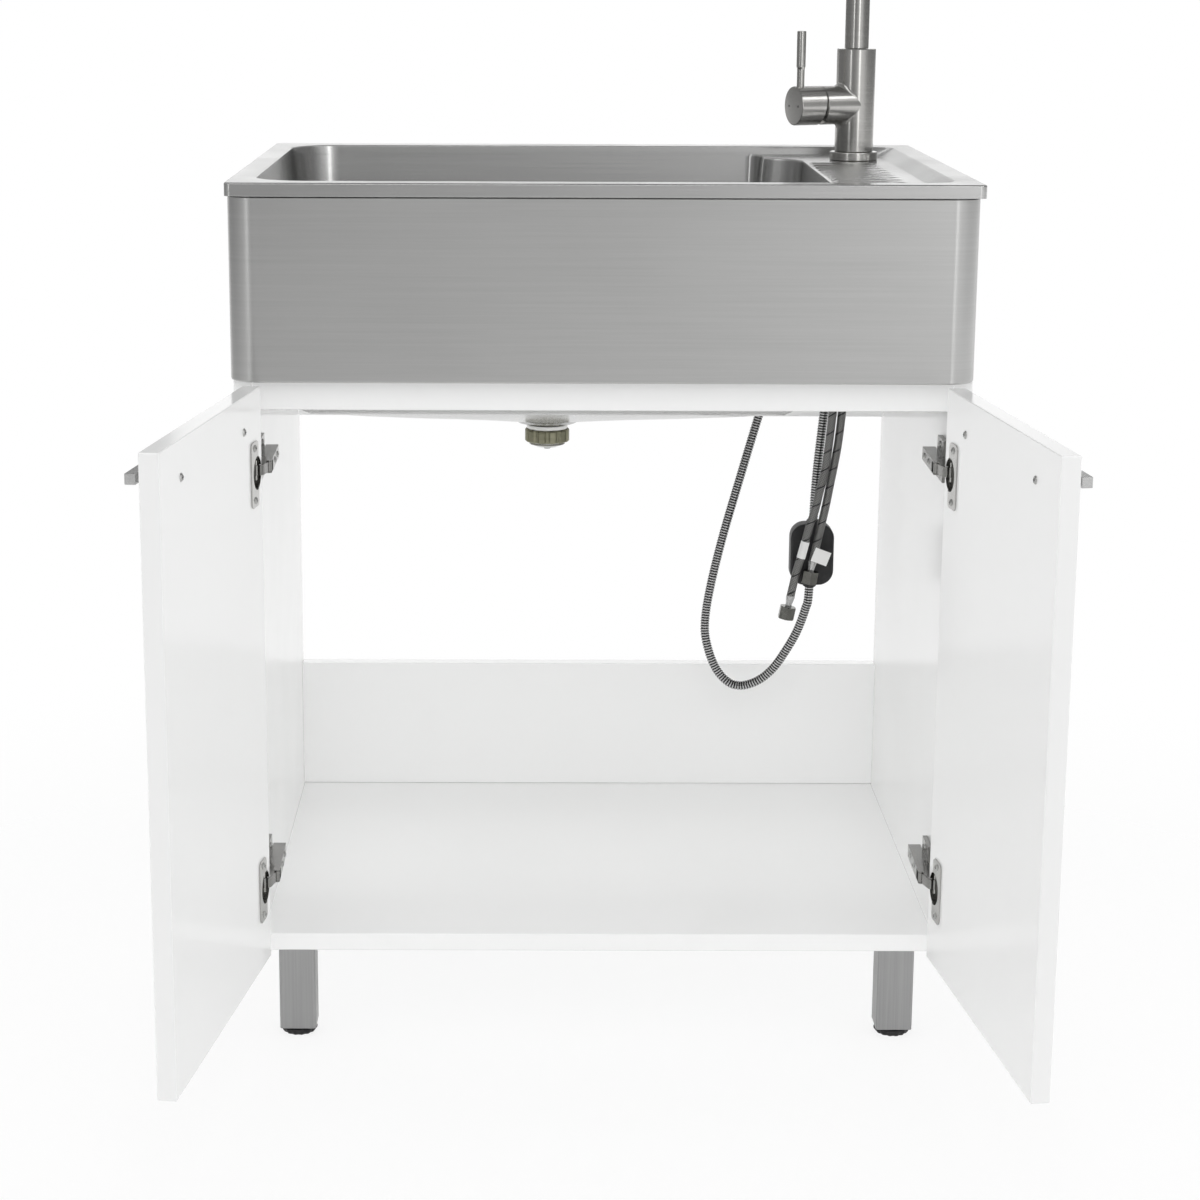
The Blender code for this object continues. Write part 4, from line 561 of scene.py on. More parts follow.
# Sink top
# One sheet of stainless steel, pressed: a flat rim with a turned-down edge, a shallow recess, the deep bowl
# with a jog that leaves room for the tap, and a drainer with round ribs. It drops over the apron.
sink_steel = brushed_steel(
    "sink_steel", (0.47, 0.47, 0.465), (0.57, 0.57, 0.565), (5.0, 380.0, 380.0), rough=(0.2, 0.26),
    anisotropy=0.25, depth=0.05)
deck, rim_top, rim_round, floor_round = 891.5, 900.0, 2.0, 45.0


def rim_corners(inset):
    """The rim's outer outline."""
    half_x, half_y, radius = 365.0 - inset, 275.0 - inset, 7.0 - inset
    return four_corners(-half_x, half_x, -half_y, half_y, radius, radius)


def recess_corners(share, grow):
    """The recess at some share of its drop; its end towards the drainer slopes much more than its sides."""
    slope, end_slope = 0.74 * share - grow, 18.0 * share - grow
    return four_corners(-340.74 + slope, 340.0 - end_slope, -249.24 + slope, 242.24 - slope, 50.0 + grow,
                        26.0 + grow)


def bowl_corners(inset):
    """The bowl's outline, with the jog that goes round the tap."""
    left, right, jog_right = -340.0 + inset, 231.0 - inset, 191.0 - inset
    front, back, jog = -248.5 + inset, 241.5 - inset, 0.647 * inset
    wide = max(50.0 - inset, 1.2)
    return [(left, front, wide), (right, front, wide), (right, 165.0 - jog, max(24.0 - 0.4 * inset, 1.2)),
            (jog_right, 183.0 - jog, 13.0), (jog_right, back, max(18.0 - inset, 1.2)), (left, back, wide)]


def bowl_ring(bm, inset, height):
    """One outline of the bowl, with points along its long sides for the floor that falls to the waste."""
    edges = ring(bm, bowl_corners(inset), height, 8)
    before = set(bm.edges) - set(edges)
    long_sides = [edge for edge in edges if edge.calc_length() > 100.0 * mm]
    bmesh.ops.subdivide_edges(bm, edges=long_sides, cuts=11)
    return [edge for edge in bm.edges if edge not in before]


def hoop(bm, radius, height, steps, x=0.0, y=0.0):
    """A level circle of edges, in millimetres."""
    made = bmesh.ops.create_circle(bm, segments=steps, radius=radius * mm, matrix=moved(x, y, height))
    return list({edge for vert in made["verts"] for edge in vert.link_edges})


def filled(bm, edges):
    """Fill the level field between outlines."""
    bmesh.ops.triangle_fill(bm, use_beauty=True, edges=edges, normal=up)


def edges_in(parts):
    """The edges among the parts of a bmesh."""
    return [part for part in parts if isinstance(part, bmesh.types.BMEdge)]


def clamped(value):
    """A share that stays between 0 and 1."""
    return min(max(value, 0.0), 1.0)


bm = bmesh.new()
floor_place = bm.verts.layers.float_vector.new("floor_place")
rim_rings = [ring(bm, rim_corners(0.0), height, 6) for height in (887.0, 887.4, rim_top - rim_round)]
for step in range(1, 6):
    angle = math.radians(18.0 * step)
    inset, height = rim_round * (1.0 - math.cos(angle)), rim_top - rim_round + rim_round * math.sin(angle)
    rim_rings.append(ring(bm, rim_corners(inset), height, 6))
bridged(bm, rim_rings)
recess_rings = [ring(bm, recess_corners(share, grow), height, 8) for share, grow, height in (
    (0.0, 1.6, rim_top), (0.02, 0.5, rim_top - 0.35), (0.12, 0.0, rim_top - 1.3), (0.93, 0.0, deck + 0.6),
    (1.0, 0.0, deck))]
bridged(bm, recess_rings)
filled(bm, rim_rings[-1] + recess_rings[0])
bowl_rings = [bowl_ring(bm, inset, height) for inset, height in (
    (0.5, deck), (0.75, deck - 0.25), (1.2, deck - 1.2), (1.6, deck - 3.0), (6.5, 832.0), (12.5, 770.0))]
for step in range(10):
    angle = math.radians(10.0 * step)
    bowl_rings.append(
        bowl_ring(bm, 18.5 + floor_round * (1.0 - math.cos(angle)), 708.0 - floor_round * math.sin(angle)))
bridged(bm, bowl_rings)

# The floor of the bowl runs from its rounded edge down to the round well of the waste
waste_x = -53.0
waste = Vector((waste_x * mm, 0.0, 0.0))
floor_edge = bowl_rings[-1]
for vert in points_of(floor_edge):
    vert[floor_place] = vert.co
for share, radius, height in (
        (0.2, 38.0, 655.2), (0.45, 38.0, 646.5), (0.7, 38.0, 638.4), (0.88, 38.0, 632.2), (1.0, 38.0, 628.5),
        (1.0, 36.6, 627.9), (1.0, 33.6, 625.6), (1.0, 31.6, 624.2), (1.0, 30.6, 624.0), (1.0, 20.1, 624.0)):
    floor_edge = edges_in(bmesh.ops.extrude_edge_only(bm, edges=floor_edge)["geom"])
    for vert in points_of(floor_edge):
        start = Vector((vert[floor_place].x, vert[floor_place].y, 0.0))
        place = start.lerp(waste + (start - waste).normalized() * radius * mm, share)
        vert.co = (place.x, place.y, height * mm)

# The deck is filled round the bowl, the tap's hole and a fine grid that carries the drainer's ribs
tap_x, tap_y = 287.5, 160.0
hole_edges = hoop(bm, 17.4, deck, 40, tap_x, tap_y)
drainer_x, drainer_y, drainer_width, drainer_depth = 270.2, -66.0, 76.0, 360.0
drainer_size = Matrix.Diagonal((drainer_width * mm, drainer_depth * mm, 1.0, 1.0))
drainer = bmesh.ops.create_grid(
    bm, x_segments=44, y_segments=288, size=0.5,
    matrix=moved(drainer_x, drainer_y, deck) @ drainer_size)
drainer_faces = {face for vert in drainer["verts"] for face in vert.link_faces}
drainer_edges = [
    edge for edge in bm.edges if len(edge.link_faces) == 1 and edge.link_faces[0] in drainer_faces]
filled(bm, recess_rings[-1] + bowl_rings[0] + hole_edges + drainer_edges)
rib_first, rib_pitch, rib_half, rib_rise = 99.0, 30.0, 7.4, 1.8
ribs_from, ribs_to, steep_end, slow_end = 232.2, 308.2, 3.2, 34.0
for vert in drainer["verts"]:
    x, number = vert.co.x / mm, (rib_first - vert.co.y / mm) / rib_pitch
    rise = clamped((x - ribs_from) / steep_end) * clamped((ribs_to - x) / slow_end)
    across = abs(number - round(number)) * rib_pitch / rib_half
    if -0.4 < number < 11.4 and across < 1.0:
        vert.co.z += rib_rise * mm * math.sin(rise * math.pi / 2) * math.cos(across * math.pi / 2) ** 1.4

# Where the bowl comes close to the recess, its edge is drawn out into one straight fall
narrow_ledge, wide_ledge = 2.0, 7.0
for row, gap, drop in zip(bowl_rings, (0.05, 0.12, 0.18, 0.26), (0.5, 1.2, 2.0, 3.0)):
    for vert in points_of(row):
        level = Vector((vert.co.x, vert.co.y, deck * mm))
        nearest = None
        for edge in recess_rings[-1]:
            start, end = edge.verts[0].co, edge.verts[1].co
            foot = start.lerp(end, clamped(geometry.intersect_point_line(level, start, end)[1]))
            if nearest is None or (level - foot).length < (level - nearest).length:
                nearest = foot
        ledge = level - nearest
        straight = nearest + ledge.normalized() * gap * mm - Vector((0.0, 0.0, drop * mm))
        share = clamped((wide_ledge - ledge.length / mm) / (wide_ledge - narrow_ledge))
        vert.co = vert.co.lerp(straight, share)
bmesh.ops.remove_doubles(bm, verts=bm.verts, dist=0.000002)
face_out(bm, lambda face: face.calc_center_median().z, up)
sheet_metal(
    show("sink_pressing", bm, "cabinet", sink_steel, "brushed_sink_steel", "sink_top", sharp=50.0), sheet)

# Waste
# A pressed steel flange lies in the bowl's well, and its threaded tail goes down through the hole. A rubber
# gasket, a white washer and a notched brass nut clamp it from below. A white plug closes the tail.
waste_steel = brushed_steel(
    "waste_steel", (0.48, 0.48, 0.475), (0.6, 0.6, 0.595), (40.0, 40.0, 500.0), rough=(0.19, 0.26),
    anisotropy=0.2, depth=0.04)
at_waste = moved(waste_x)
tail = [(17.0, 598.8), (18.9, 598.8), *thread(599.6, 1.9, 11, 19.5, 18.9), (19.5, 621.5), (19.5, 624.3),
        (28.4, 624.3), (29.0, 624.8), (28.6, 625.6), (27.4, 625.9), (19.2, 625.9), (17.6, 625.3),
        (17.0, 624.0), (17.0, 598.8)]
show("waste_flange", turned(tail, 64), "cabinet", waste_steel, "brushed_sink_steel", "waste_body",
     way=at_waste)

gasket_rubber = grained(
    "gasket_rubber", (0.016, 0.016, 0.016), (0.035, 0.035, 0.034), (0.6, 0.75), 900.0, 0.2)
gasket = [(19.8, 620.3), (21.3, 620.3), (21.8, 620.8), (21.8, 622.0), (21.3, 622.5), (19.8, 622.5),
          (19.8, 620.3)]
show("waste_gasket_ring", turned(gasket, 64), "cabinet", gasket_rubber, "gasket_rubber", "waste_gasket",
     way=at_waste)

white_plastic = grained("white_plastic", (0.74, 0.74, 0.72), (0.83, 0.83, 0.81), (0.35, 0.5), 900.0, 0.12)
washer = [(19.8, 616.0), (21.4, 616.0), (22.0, 616.6), (22.0, 619.4), (21.4, 620.0), (19.8, 620.0),
          (19.8, 616.0)]
show("waste_washer_ring", turned(washer, 64), "cabinet", white_plastic, "white_plastic", "waste_washer",
     way=at_waste)

nut_brass = brushed_steel(
    "lock_nut_brass", (0.172, 0.166, 0.112), (0.33, 0.322, 0.235), (60.0, 60.0, 300.0), rough=(0.28, 0.42),
    anisotropy=0.0)
lock_nut = turned([(19.8, 601.7), (22.4, 601.7), (24.0, 603.2), (24.0, 613.9), (22.6, 615.7), (19.8, 615.7),
                   (19.8, 601.7)], 192)
notch_count, notch_depth, notch_from = 12, 1.6, 22.0
for vert in lock_nut.verts:
    if vert.co.xy.length > notch_from * mm:
        around = math.atan2(vert.co.y, vert.co.x)
        notch = clamped((math.cos(notch_count * around) - 0.1) / 0.5)
        draw_in(vert, 1.0 - notch_depth * mm * notch / vert.co.xy.length)
show("waste_nut", lock_nut, "cabinet", nut_brass, "lock_nut_brass", "waste_lock_nut", way=at_waste)

plug = [(0.0, 601.8), (16.7, 601.8), (16.7, 599.2), (16.0, 598.2), (11.0, 596.0), (6.0, 595.8), (0.0, 595.8)]
show("waste_plug", turned(plug), "cabinet", white_plastic, "white_plastic", "waste_tail_plug", way=at_waste)
plug_screw = [(0.0, 596.2), (4.2, 596.2), (4.2, 594.5), (3.5, 593.8), (0.0, 593.8)]
show("waste_plug_screw", turned(plug_screw, 24), "cabinet", gasket_rubber, "gasket_rubber", way=at_waste)

# Basket strainer
# A pressed steel dish with a turned knob and a row of holes. The rubber foot below it seals the waste, and
# it lifts straight out of the flange.
at_basket = moved(waste_x, 0.0, 626.2)
bm = bmesh.new()
dish = [hoop(bm, radius, height, 64) for radius, height in (
    (27.0, 8.9), (27.6, 9.4), (27.2, 10.0), (26.3, 9.7), (24.6, 5.2), (22.6, 1.4), (21.8, 0.35),
    (20.8, 0.0))]
bridged(bm, dish)
open_edges = dish[-1] + hoop(bm, 6.8, 0.0, 32)
hole_count, hole_out = 8, 18.35
for number in range(hole_count):
    turn = math.tau * (number + 0.2) / hole_count
    open_edges += hoop(bm, 1.8, 0.0, 16, hole_out * math.cos(turn), hole_out * math.sin(turn))
filled(bm, open_edges)
face_out(bm, lambda face: -face.calc_center_median().xy.length, up)
dish_piece = show(
    "basket_dish", bm, "basket", waste_steel, "brushed_sink_steel", "basket_strainer", way=at_basket)
sheet_metal(dish_piece, 0.9)
knob = [(0.0, 20.0), (5.2, 20.0), (6.5, 19.3), (7.0, 18.0), (7.0, 15.2), (6.2, 13.8), (3.6, 12.4),
        (3.1, 11.0), (3.1, 3.2), (4.6, 1.0), (7.4, 0.3), (7.4, -0.8), (0.0, -0.8)]
show("basket_knob", turned(knob), "basket", waste_steel, "brushed_sink_steel", way=at_basket)
basket_foot = [(0.0, -1.0), (15.2, -1.0), (15.5, -1.4), (15.5, -3.2), (14.5, -3.9), (14.5, -4.7),
               (15.5, -5.4), (15.5, -10.4), (14.2, -11.6), (0.0, -11.6)]
show("basket_foot", turned(basket_foot), "basket", gasket_rubber, "gasket_rubber", way=at_basket)

# Mixer tap, fixed parts
# A turned body of solid steel on a base ring, brushed round its girth. A threaded brass shank goes down
# through the deck, and a flanged nut pulls it tight from below. The valve housing is welded on and blended
# by hand.


def cut_flats(bm, half, least, top):
    """Cut six flats on what lies outside a radius and below a height of a turned bmesh."""
    for vert in bm.verts:
        radius = vert.co.xy.length
        if radius > least * mm and vert.co.z < top * mm:
            around = math.atan2(vert.co.y, vert.co.x) % (math.pi / 3.0) - math.pi / 6.0
            draw_in(vert, min(1.0, half * mm / math.cos(around) / radius))


tap_look = {
    "dark": (0.4, 0.395, 0.38), "light": (0.54, 0.535, 0.52), "rough": (0.16, 0.23), "anisotropy": 0.35,
    "depth": 0.06}
tap_steel = brushed_steel("tap_steel", stretch=(6.0, 6.0, 520.0), **tap_look)
at_tap = moved(tap_x, tap_y)
base_ring = [(17.1, 891.8), (25.8, 891.8), (26.3, 892.3), (26.3, 899.4), (25.9, 900.4), (24.9, 900.8),
             (17.1, 900.8), (17.1, 891.8)]
show("tap_base", turned(base_ring, 72), "cabinet", tap_steel, "brushed_tap_steel", "tap_base_ring",
     way=at_tap)
body_radius = 21.4
body_tube = [(0.0, 901.1), (20.9, 901.1), (body_radius, 901.6), (body_radius, 1012.4), (20.9, 1013.1),
             (0.0, 1013.1)]
show("tap_body_bar", turned(body_tube, 72), "cabinet", tap_steel, "brushed_tap_steel", "tap_body",
     way=at_tap)

shank_brass = brushed_steel(
    "shank_brass", (0.36, 0.29, 0.15), (0.56, 0.46, 0.26), (80.0, 80.0, 300.0), rough=(0.28, 0.4),
    anisotropy=0.0)
shank = [(0.0, 846.5), (15.4, 846.5), *thread(847.6, 1.5, 28, 16.5, 15.7), (16.5, 889.8), (16.5, 900.8),
         (0.0, 900.8)]
show("tap_shank_thread", turned(shank, 40), "cabinet", shank_brass, "lock_nut_brass", "tap_shank",
     way=at_tap)
backing_nut = turned([
    (16.8, 878.0), (20.6, 878.0), (21.6, 879.0), (21.6, 886.9), (26.4, 887.0), (27.0, 887.6), (27.0, 889.5),
    (26.5, 890.0), (16.8, 890.0), (16.8, 878.0)], 72)
cut_flats(backing_nut, 19.2, 20.0, 886.95)
show("tap_backing_hex", backing_nut, "cabinet", shank_brass, "lock_nut_brass", "tap_backing_nut", way=at_tap)

# The housing's first rings run out in a fillet on the round body, and its last ones turn in at the cap
valve_turn, valve_height, lever_out = 203.0, 952.0, 69.0
at_side = moved(tap_x, tap_y, valve_height) @ swung(valve_turn, "Z")
at_valve = at_side @ swung(90.0, "Y")
valve_steel = brushed_steel(
    "valve_steel", stretch=(520.0, 6.0, 6.0), turn=-math.radians(valve_turn), **tap_look)
housing_radius, fillet = 21.0, 5.5
housing_end = {10: 43.0, 11: 43.6, 12: 43.6, 13: 30.0}
housing = turned([(housing_radius, float(station)) for station in range(11)]
                 + [(20.5, 11.0), (17.2, 12.0), (17.2, 13.0)], 96)
for vert in housing.verts:
    station = round(vert.co.z / mm)
    if station in housing_end:
        vert.co.z = housing_end[station] * mm
        continue
    around, bend = math.atan2(vert.co.y, vert.co.x), math.radians(10.0 * station)
    flare = fillet * math.cos(around) ** 2
    radius = housing_radius + flare * (1.0 - math.sin(bend))
    seat = math.sqrt(body_radius ** 2 - (radius * math.sin(around)) ** 2) - 0.25
    vert.co = (radius * math.cos(around) * mm, radius * math.sin(around) * mm,
               (seat + flare * (1.0 - math.cos(bend))) * mm)
show("tap_valve_housing", housing, "cabinet", valve_steel, "brushed_tap_steel", way=at_valve, sharp=50.0)

# Mixer tap, lever
# A cap turns on the cartridge's spindle and tilts round its dome, with a slanted joint that leaves room for
# the tilt. A round pin in the cap is the lever, and two small marks on the cap's end stand for hot and cold.


def shifted(bm, way):
    """A bmesh that is moved before it is joined to others."""
    bmesh.ops.transform(bm, matrix=way, verts=bm.verts)
    return bm


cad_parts["cartridge_spindle"].material_slots[0].material = waste_steel
dome_radius, tilt_pivot = 16.6, 46.0
dome = []
for angle in range(-30, 41, 5):
    turn = math.radians(angle)
    dome.append((dome_radius * math.cos(turn), tilt_pivot + dome_radius * math.sin(turn)))
dome = [(0.0, dome[0][1]), *dome, (0.0, dome[-1][1])]
show("tap_cartridge_dome", turned(dome, 72), "tap_spindle", valve_steel, "brushed_tap_steel", way=at_valve)
cap_radius, cap_slant = 21.2, math.tan(math.radians(6.5))
cap = turned([(0.0, 61.6), (17.0, 61.6), (17.0, 43.9), (20.7, 43.9), (cap_radius, 44.4), (cap_radius, 75.9),
              (20.8, 76.7), (20.0, 77.0), (0.0, 77.0)], 96)
for vert in cap.verts:
    if vert.co.z < 45.0 * mm:
        vert.co.z += cap_slant * (cap_radius * mm + vert.co.x)
show("tap_cap", cap, "tap_lever", valve_steel, "brushed_tap_steel", "handle_cap", way=at_valve)
mark = [(0.0, 76.0), (1.35, 76.0), (1.35, 77.03), (1.15, 77.06), (0.0, 77.06)]
marks = [shifted(turned(mark, 20), moved(0.3, place)) for place in (-10.2, 10.2)]
show("tap_cap_marks", joined(*marks), "tap_lever", black_plastic, "black_plastic", way=at_valve)
lever = [(0.0, 15.5), (4.2, 15.5), (4.2, 39.0), (4.55, 40.6), (5.0, 42.4), (5.0, 79.5), (4.7, 80.4),
         (4.1, 80.7), (0.0, 80.7)]
show("tap_lever_pin", turned(lever), "tap_lever", tap_steel, "brushed_tap_steel", "lever_pin",
     way=at_side @ moved(lever_out))

# Mixer tap, spout and spray
# A bent steel tube that swivels on the body, with a spray head that pulls out of its end on a ribbed hose.
at_spout = at_tap @ swung(215.0, "Z")
spout_reach, spout_top, spout_end, foot_lift = 160.0, 1181.4, 1169.4, 4.0
bm = bmesh.new()
spout_rings = [hoop(bm, radius, height, 56) for radius, height in (
    (9.0, 1013.4), (12.8, 1013.4), (13.2, 1013.9), (13.2, 1060.0), (13.2, 1120.0), (13.2, spout_top))]
# The first ring is lowered while the tube is skinned, because it lies level with the second
for vert in points_of(spout_rings[0]):
    vert.co.z -= foot_lift * mm
bridged(bm, spout_rings)
for vert in points_of(spout_rings[0]):
    vert.co.z += foot_lift * mm
bend = bmesh.ops.spin(
    bm, geom=spout_rings[-1], cent=(spout_reach / 2 * mm, 0.0, spout_top * mm), axis=(0.0, 1.0, 0.0),
    angle=math.pi, steps=48)
last_ring = edges_in(bend["geom_last"])
for radius, height in ((13.2, 1169.9), (12.7, spout_end), (8.9, spout_end), (8.9, 1199.0), (8.0, 1206.5)):
    last_ring = edges_in(bmesh.ops.extrude_edge_only(bm, edges=last_ring)["geom"])
    for vert in points_of(last_ring):
        out = Vector((vert.co.x - spout_reach * mm, vert.co.y)).normalized() * radius * mm
        vert.co = (spout_reach * mm + out.x, out.y, height * mm)
bmesh.ops.remove_doubles(bm, verts=bm.verts, dist=0.000001)
bmesh.ops.holes_fill(bm, edges=bm.edges, sides=0)
bmesh.ops.recalc_face_normals(bm, faces=bm.faces)
show("tap_spout", bm, "spout", tap_steel, "brushed_tap_steel", "spout", way=at_spout)

outlet = at_spout @ Vector((spout_reach * mm, 0.0, spout_end * mm))
at_outlet = Matrix.Translation(outlet)
spray_head = [(0.0, 16.0), (7.8, 16.0), (8.4, 15.4), (8.4, -0.3), (12.7, -0.3), (13.2, -0.8), (13.2, -22.4),
              (12.8, -22.8), (12.8, -23.4), (13.2, -23.8), (14.2, -38.0), (14.8, -50.0), (15.0, -55.2),
              (15.0, -90.6), (14.5, -91.7), (13.6, -92.0), (11.4, -92.0), (11.0, -91.6), (11.0, -89.0),
              (0.0, -89.0)]
show("spray_head_shell", turned(spray_head, 56), "spray", tap_steel, "brushed_tap_steel", "spray_head",
     way=at_outlet)
nozzle = [(0.0, -90.4), (1.0, -90.4), (0.8, -91.5), (0.4, -91.7), (0.0, -91.4)]
nozzles = [turned([(0.0, -88.6), (10.8, -88.6), (10.8, -90.2), (10.2, -90.6), (0.0, -90.6)], 40)]
for count, radius in ((1, 0.0), (6, 3.6), (12, 7.6)):
    for number in range(count):
        turn = math.tau * number / count
        nozzles.append(shifted(turned(nozzle, 12), moved(radius * math.cos(turn), radius * math.sin(turn))))
show("spray_nozzles", joined(*nozzles), "spray", black_plastic, "black_plastic", way=at_outlet)

hose_steel = brushed_steel(
    "hose_steel", (0.42, 0.42, 0.41), (0.6, 0.6, 0.59), (150.0, 150.0, 150.0), rough=(0.17, 0.26),
    anisotropy=0.0, depth=0.03)
ribs = [(0.0, 37.7), (4.4, 37.7)]
for rib in range(9):
    drop = 2.2 * rib
    ribs += [(5.2, 37.0 - drop), (5.2, 35.7 - drop), (4.5, 35.3 - drop)]
ribs += [(4.5, 16.4), (0.0, 16.4)]
spray_hose = placed(
    "spray_hose_ribs", shifted(turned(ribs, 20), Matrix.Translation(origin) @ at_outlet), hose_steel)
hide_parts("spray_hose")
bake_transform(spray_hose)

# Pull-out hose and its weight
# A ribbed steel hose goes down from the shank, round a loop and back up into it. A weight of black plastic
# round a steel slug clips on it and draws the spray head home.
ribbed_route = [
    (281, 166.5, 846.2), (281, 166.5, 834.2), (281, 166.5, 826.2), (270, 177, 800), (250, 198, 765),
    (228, 214, 705), (210, 223, 645), (194, 225, 590), (174, 220, 520), (154, 216, 447), (140, 212, 385),
    (135, 209, 344), (139, 207, 317), (149, 205, 292), (163, 202, 277), (178, 200, 273), (197, 196, 280),
    (214, 193, 295), (228, 189, 317), (241, 185, 343), (250, 180.5, 372), (253, 178, 392), (256, 176, 486),
    (258, 174, 533), (262, 173, 580), (268, 172, 640), (277, 170, 710), (288, 168, 780), (294, 166.5, 826.2),
    (294, 166.5, 834.2), (294, 166.5, 846.2)]


def smooth_path(route, step):
    """Points at even steps along a smooth curve through a route's own points, and its length."""
    places = [Vector(point) * mm + origin for point in route]
    fine = []
    for index in range(len(places) - 1):
        first = places[max(index - 1, 0)]
        second, third = places[index], places[index + 1]
        fourth = places[min(index + 2, len(places) - 1)]
        for part in range(24):
            t = part / 24
            fine.append(0.5 * (
                2 * second + (third - first) * t + (2 * first - 5 * second + 4 * third - fourth) * t ** 2
                + (3 * second - first - 3 * third + fourth) * t ** 3))
    fine.append(places[-1])
    lengths = [0.0]
    for first, second in zip(fine, fine[1:]):
        lengths.append(lengths[-1] + (second - first).length)
    count = max(2, round(lengths[-1] / step))
    path = []
    index = 0
    for number in range(count + 1):
        wanted = lengths[-1] * number / count
        while index < len(fine) - 2 and lengths[index + 1] < wanted:
            index += 1
        share = (wanted - lengths[index]) / (lengths[index + 1] - lengths[index])
        path.append(fine[index].lerp(fine[index + 1], min(share, 1.0)))
    return path, lengths[-1]


def hose_skin(path, length, rings, sides):
    """A tube along a path from rings (distance along, radius), with girth and length as its UV."""
    made = bmesh.new()
    girth = made.loops.layers.uv.new("girth")
    step = length / (len(path) - 1)
    hoops = []
    for along_it, radius in rings:
        index = min(int(along_it / step), len(path) - 2)
        centre = path[index].lerp(path[index + 1], along_it / step - index)
        before, after = path[max(index - 1, 0)], path[min(index + 2, len(path) - 1)]
        run = (after - before).normalized()
        side = run.cross(Vector((0.0, 1.0, 0.0))).normalized()
        out = side.cross(run)
        hoops.append([
            made.verts.new(centre + radius * (side * math.cos(turn) + out * math.sin(turn)))
            for turn in (math.tau * number / sides for number in range(sides))])
    for row in range(len(hoops) - 1):
        low, high = rings[row][0], rings[row + 1][0]
        for number in range(sides):
            after = (number + 1) % sides
            face = made.faces.new((hoops[row][number], hoops[row][after], hoops[row + 1][after],
                                   hoops[row + 1][number]))
            face.smooth = True
            start, end = number / sides, (number + 1) / sides
            for loop, u, v in zip(face.loops, (start, end, end, start), (low, low, high, high)):
                loop[girth].uv = (u, v)
    made.faces.new(hoops[0][::-1])
    made.faces.new(hoops[-1])
    bmesh.ops.recalc_face_normals(made, faces=made.faces)
    return made


# For pieces that are drawn where the solids lie, so that the shift over the solids doesn't move them
drawn_in_place = Matrix.Translation(-origin)


def hang(name, bm, finish, node):
    """Set a hose into the frame on the cabinet, in place of its solid."""
    hose = show(name, bm, "cabinet", finish, "steel_braid", node, way=drawn_in_place, sharp=38.0)


weight = block((229.5, 165.0, 403.0), (279.5, 189.0, 475.0))
round_along(weight, 1, 17.0, 10)
soften(weight, 3.0 * mm, 4, 60.0)
collar = [(5.5, 0.0), (8.2, 0.0), (8.0, 3.0), (7.2, 4.4), (5.9, 4.4), (5.5, 0.0)]
collar_ends = (
    ((255.64, 176.25, 474.0), (255.77, 176.16, 478.4)), ((253.36, 177.76, 404.0), (253.23, 177.84, 399.6)))
collars = []
for foot, tip in collar_ends:
    collars.append(shifted(turned(collar, 32), moved(*foot) @ along(Vector(tip) - Vector(foot))))
weight_piece = show(
    "pull_out_weight", joined(weight, *collars), "cabinet", black_plastic, "black_plastic", "hose_weight")
path_step, ring_step = 4.0 * mm, 2.0 * mm
ribbed_path, ribbed_length = smooth_path(ribbed_route, path_step)
rib_count = 396
rib_rings = []
for rib in range(rib_count):
    for share, radius in ((0.0, 4.5), (0.16, 5.2), (0.4, 5.3), (0.68, 5.2), (0.84, 4.5)):
        rib_rings.append((ribbed_length * (rib + share) / rib_count, radius * mm))
rib_rings.append((ribbed_length, 4.5 * mm))
# The steel of the spray's hose, with painted shade in the grooves between its ribs along the length
ribbed_steel = hose_steel.copy()
ribbed_steel.name = "ribbed_steel"
tree = ribbed_steel.node_tree
ribs_along = worked(tree, "MULTIPLY", uv_parts(tree, "girth")["Y"], rib_count / ribbed_length)
rib_share = worked(tree, "FRACT", ribs_along)
# Painted shade: near black in each groove, the steel's own tone on each rib
groove_shade_tone = ramp(tree, ((0.0, 0.05), (0.14, 0.1), (0.3, 0.58), (0.54, 0.58), (0.7, 0.1)), rib_share)
feed(tree, tree.nodes["Principled BSDF"], {"Base Color": groove_shade_tone})
ribbed_skin = hose_skin(ribbed_path, ribbed_length, rib_rings, 14)
hang("pull_out_hose_ribs", ribbed_skin, ribbed_steel, "pull_out_hose")

# Supply hoses
# Rubber hoses in a braid of steel wire with one dark tracer strand. A ferrule crimps each into a hexagon nut
# for the wall valve. A white paper tag is stuck on each, one wrapped round and one as a flag.
cold_route = [
    (281.5, 153.5, 846.2), (281.5, 153.5, 834.2), (281.5, 153.5, 826.2), (280.5, 150, 780), (277, 147, 700),
    (274, 146, 650), (271, 146, 607), (267, 146, 564), (264, 146, 540), (259, 146, 518), (254, 146, 495),
    (248, 146, 475), (241, 146, 446), (234.5, 146, 422), (231, 146, 406), (228.8, 146, 395)]
hot_route = [
    (293.5, 153.5, 846.2), (293.5, 153.5, 834.2), (293.5, 153.5, 826.2), (292, 151, 780), (289, 150, 700),
    (286, 150, 650), (282, 150, 606), (278, 150, 567), (271, 150, 525), (266, 150, 496), (260, 150, 467),
    (256, 150, 447), (254, 150, 436)]


